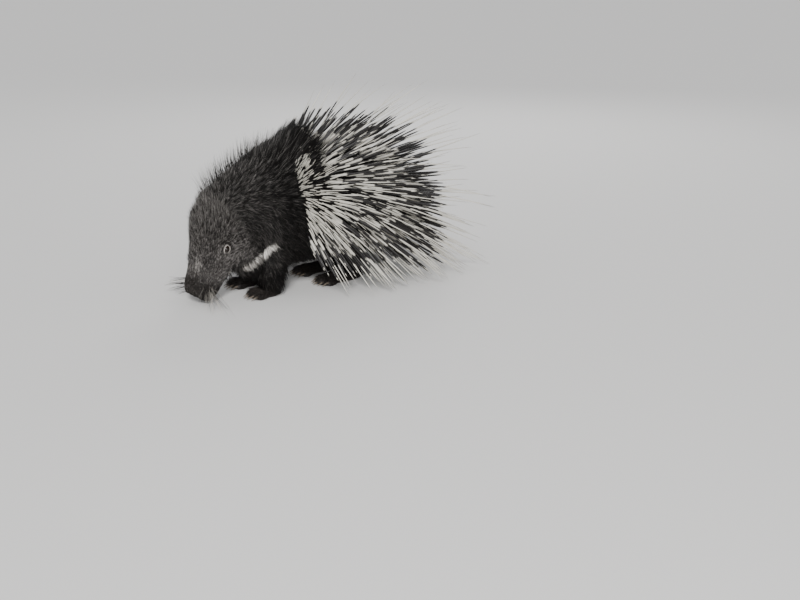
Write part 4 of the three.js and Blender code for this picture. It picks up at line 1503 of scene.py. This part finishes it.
def make_stage():
    corners = [(-1, -1, 0), (1, -1, 0), (1, 1, 0), (-1, 1, 0)]
    floor = new_object("floor", mesh_from("floor", np.array(corners) * FLOOR_REACH, [(0, 1, 2, 3)]))
    material, _, shader = new_material("pale_floor")
    shader.inputs["Base Color"].default_value = (0.76, 0.75, 0.73, 1)
    shader.inputs["Roughness"].default_value = 0.9
    floor.data.materials.append(material)
    world = bpy.data.worlds.new("soft_room")
    world.use_nodes = True
    world.node_tree.nodes["Background"].inputs[0].default_value = (0.95, 0.96, 1.0, 1)
    world.node_tree.nodes["Background"].inputs[1].default_value = 0.5
    bpy.context.scene.world = world
    sun = bpy.data.lights.new("key", "SUN")
    sun.energy = 2.7
    sun.angle = math.radians(14)
    key = bpy.data.objects.new("key", sun)
    key.rotation_euler = Vector((1.0, 1.45, -1.35)).to_track_quat("-Z", "Y").to_euler()
    bpy.context.scene.collection.objects.link(key)
    lamps = (
        ("fill", (-1.2, -2.2, 0.9), 0.9, 26.0),
        ("rim", (1.6, 1.4, 1.6), 1.2, 16.0),
    )
    for name, place, across, power in lamps:
        light = bpy.data.lights.new(name, "AREA")
        light.size = across
        light.energy = power
        lamp = bpy.data.objects.new(name, light)
        lamp.location = place
        lamp.rotation_euler = (Vector((0, 0, 0.15)) - Vector(place)).to_track_quat("-Z", "Y").to_euler()
        bpy.context.scene.collection.objects.link(lamp)


def make_camera():
    """The photo's viewpoint: left of the head, looking a little down."""
    camera = bpy.data.cameras.new("camera")
    camera.lens = CAMERA["lens"]
    camera.sensor_width = CAMERA["film"]
    holder = bpy.data.objects.new("camera", camera)
    holder.location = CAMERA["place"] + SHIFT * [1, 1, 0]
    tilt, turn = math.radians(90 - CAMERA["pitch"]), math.radians(-CAMERA["yaw"])
    holder.rotation_euler = Euler((tilt, 0, turn))
    bpy.context.scene.collection.objects.link(holder)
    bpy.context.scene.camera = holder


def make_tufts():
    return {
        "hair": tuft_source("hair", 3, [(0, 1.0), (0.5, 0.8), (1, 0)], TUFT_BULGE),
        "bristle": tuft_source("bristle", 3, [(0, 0.9), (0.5, 0.9), (1, 0)], 2.5),
        "quills_thick": tuft_source(
            "thick", 8, [(0, 0.6), (0.12, 0.9), (0.4, 1.0), (0.7, 0.95), (0.86, 0.66), (0.95, 0.3), (1, 0)]
        ),
        "quills_slender": tuft_source(
            "slender", 6, [(0, 0.7), (0.2, 1.0), (0.45, 1.0), (0.65, 0.88), (0.85, 0.62), (1, 0)]
        ),
        "quills_under": tuft_source("under", 5, [(0, 0.7), (0.3, 1.0), (0.7, 0.8), (0.9, 0.4), (1, 0)]),
        "quills_front": tuft_source("front", 6, [(0, 0.7), (0.3, 1.0), (0.7, 0.85), (0.92, 0.4), (1, 0)]),
        "quills_rattle": tuft_source(
            "rattle", 8, [(0, 0.35), (0.35, 0.4), (0.5, 0.95), (0.8, 1.0), (0.97, 0.85), (1, 0)]
        ),
        "whisker": tuft_source(
            "whisker", 5, [(0, 1), (0.2, 0.9), (0.4, 0.8), (0.6, 0.6), (0.8, 0.4), (1, 0)]
        ),
    }


def make_finishes():
    black = (0.007, 0.006, 0.0055)
    return {
        "face": hair_finish("face_fur", (0.030, 0.027, 0.025), (0.42, 0.39, 0.37), 0.30, 0.80, 0.5, 0.6),
        "muzzle": hair_finish("muzzle_fur", (0.012, 0.010, 0.009), (0.16, 0.145, 0.13), 0.4, 0.9, 0.4, 0.6),
        "crown": hair_finish("crown_fur", (0.014, 0.012, 0.011), (0.38, 0.355, 0.33), 0.45, 0.90, 0.42, 0.55),
        "bristle": hair_finish("black_bristle", black, (0.05, 0.045, 0.04), 0.7, 1.0, 0.12, 0.45),
        "neck": hair_finish("neck_fur", (0.011, 0.010, 0.0095), (0.40, 0.375, 0.35), 0.45, 0.85, 0.40, 0.5),
        "bridge": hair_finish("bridge_fur", (0.10, 0.093, 0.086), (0.52, 0.49, 0.46), 0.1, 0.7, 0.8, 0.5),
        # pale hair of the white collar, also used for the painted glints round the eyes
        "collar": hair_finish("collar", (0.30, 0.28, 0.255), (0.78, 0.75, 0.70), 0.05, 0.5, 0.86, 0.5),
        "guard": hair_finish("guard_hair", (0.012, 0.011, 0.010), (0.34, 0.32, 0.30), 0.55, 0.9, 0.6, 0.5),
        "under": hair_finish("under_fur", black, (0.08, 0.07, 0.06), 0.6, 1.0, 0.2, 0.6),
        "leg": hair_finish("leg_fur", black, (0.12, 0.10, 0.09), 0.6, 1.0, 0.2, 0.55),
        "foot": hair_finish("foot_fur", (0.018, 0.015, 0.013), (0.14, 0.12, 0.11), 0.5, 1.0, 0.25, 0.6),
        "whiskers_dark": hair_finish("whisker_dark", black, (0.02, 0.018, 0.016), 0.5, 1.0, 0.5, 0.35),
        "whiskers_pale": hair_finish(
            "whisker_pale", (0.30, 0.28, 0.25), (0.6, 0.57, 0.52), 0.2, 0.7, 1.0, 0.35
        ),
        "quills_thick": quill_finish("quill_thick", [
            (0, IVORY), (0.13, BLACK_BROWN), (0.31, IVORY), (0.55, BLACK_BROWN), (0.93, IVORY)]),
        "quills_slender": quill_finish("quill_slender", [
            (0, IVORY), (0.10, BLACK_BROWN), (0.26, IVORY), (0.42, BLACK_BROWN), (0.60, IVORY)]),
        "quills_under": quill_finish("quill_under", [
            (0, IVORY), (0.20, BLACK_BROWN), (0.76, IVORY)]),
        "quills_front": quill_finish("quill_front", [
            (0, IVORY), (0.10, BLACK_BROWN), (0.50, IVORY)]),
        "quills_rattle": quill_finish("quill_rattle", [
            (0, BLACK_BROWN), (0.18, IVORY), (0.95, BLACK_BROWN)]),
        "skin": skin_finish(),
        "claw": claw_finish(),
        "eye": eye_finish(),
    }


def build():
    finishes = make_finishes()
    tufts = make_tufts()
    skin = make_skin()
    unwrap(skin)
    skin.data.materials.append(finishes["skin"])
    finish_piece(skin, "coat", "head", "neck", "foreleg_left", "foreleg_right", "hindleg_left",
                 "hindleg_right", "forefoot_left", "forefoot_right", "hindfoot_left", "hindfoot_right",
                 "torso", "tail")
    kit = Kit(Roots(skin.data), tufts, finishes)
    coats = make_face_fur(kit) + make_bristles(kit) + [make_throat_collar(kit)] + make_body_fur(kit)
    for coat in coats:
        finish_piece(coat, "coat")
    for quills in make_quills(kit) + make_short_quills(kit):
        finish_piece(quills, "quill")
    make_whiskers(kit)
    make_claws(finishes["claw"])
    make_eyes(finishes["eye"])
    make_ears(finishes["skin"])
    for tuft in tufts.values():
        bpy.data.objects.remove(tuft)


build()
make_stage()
make_camera()
bpy.context.view_layer.update()
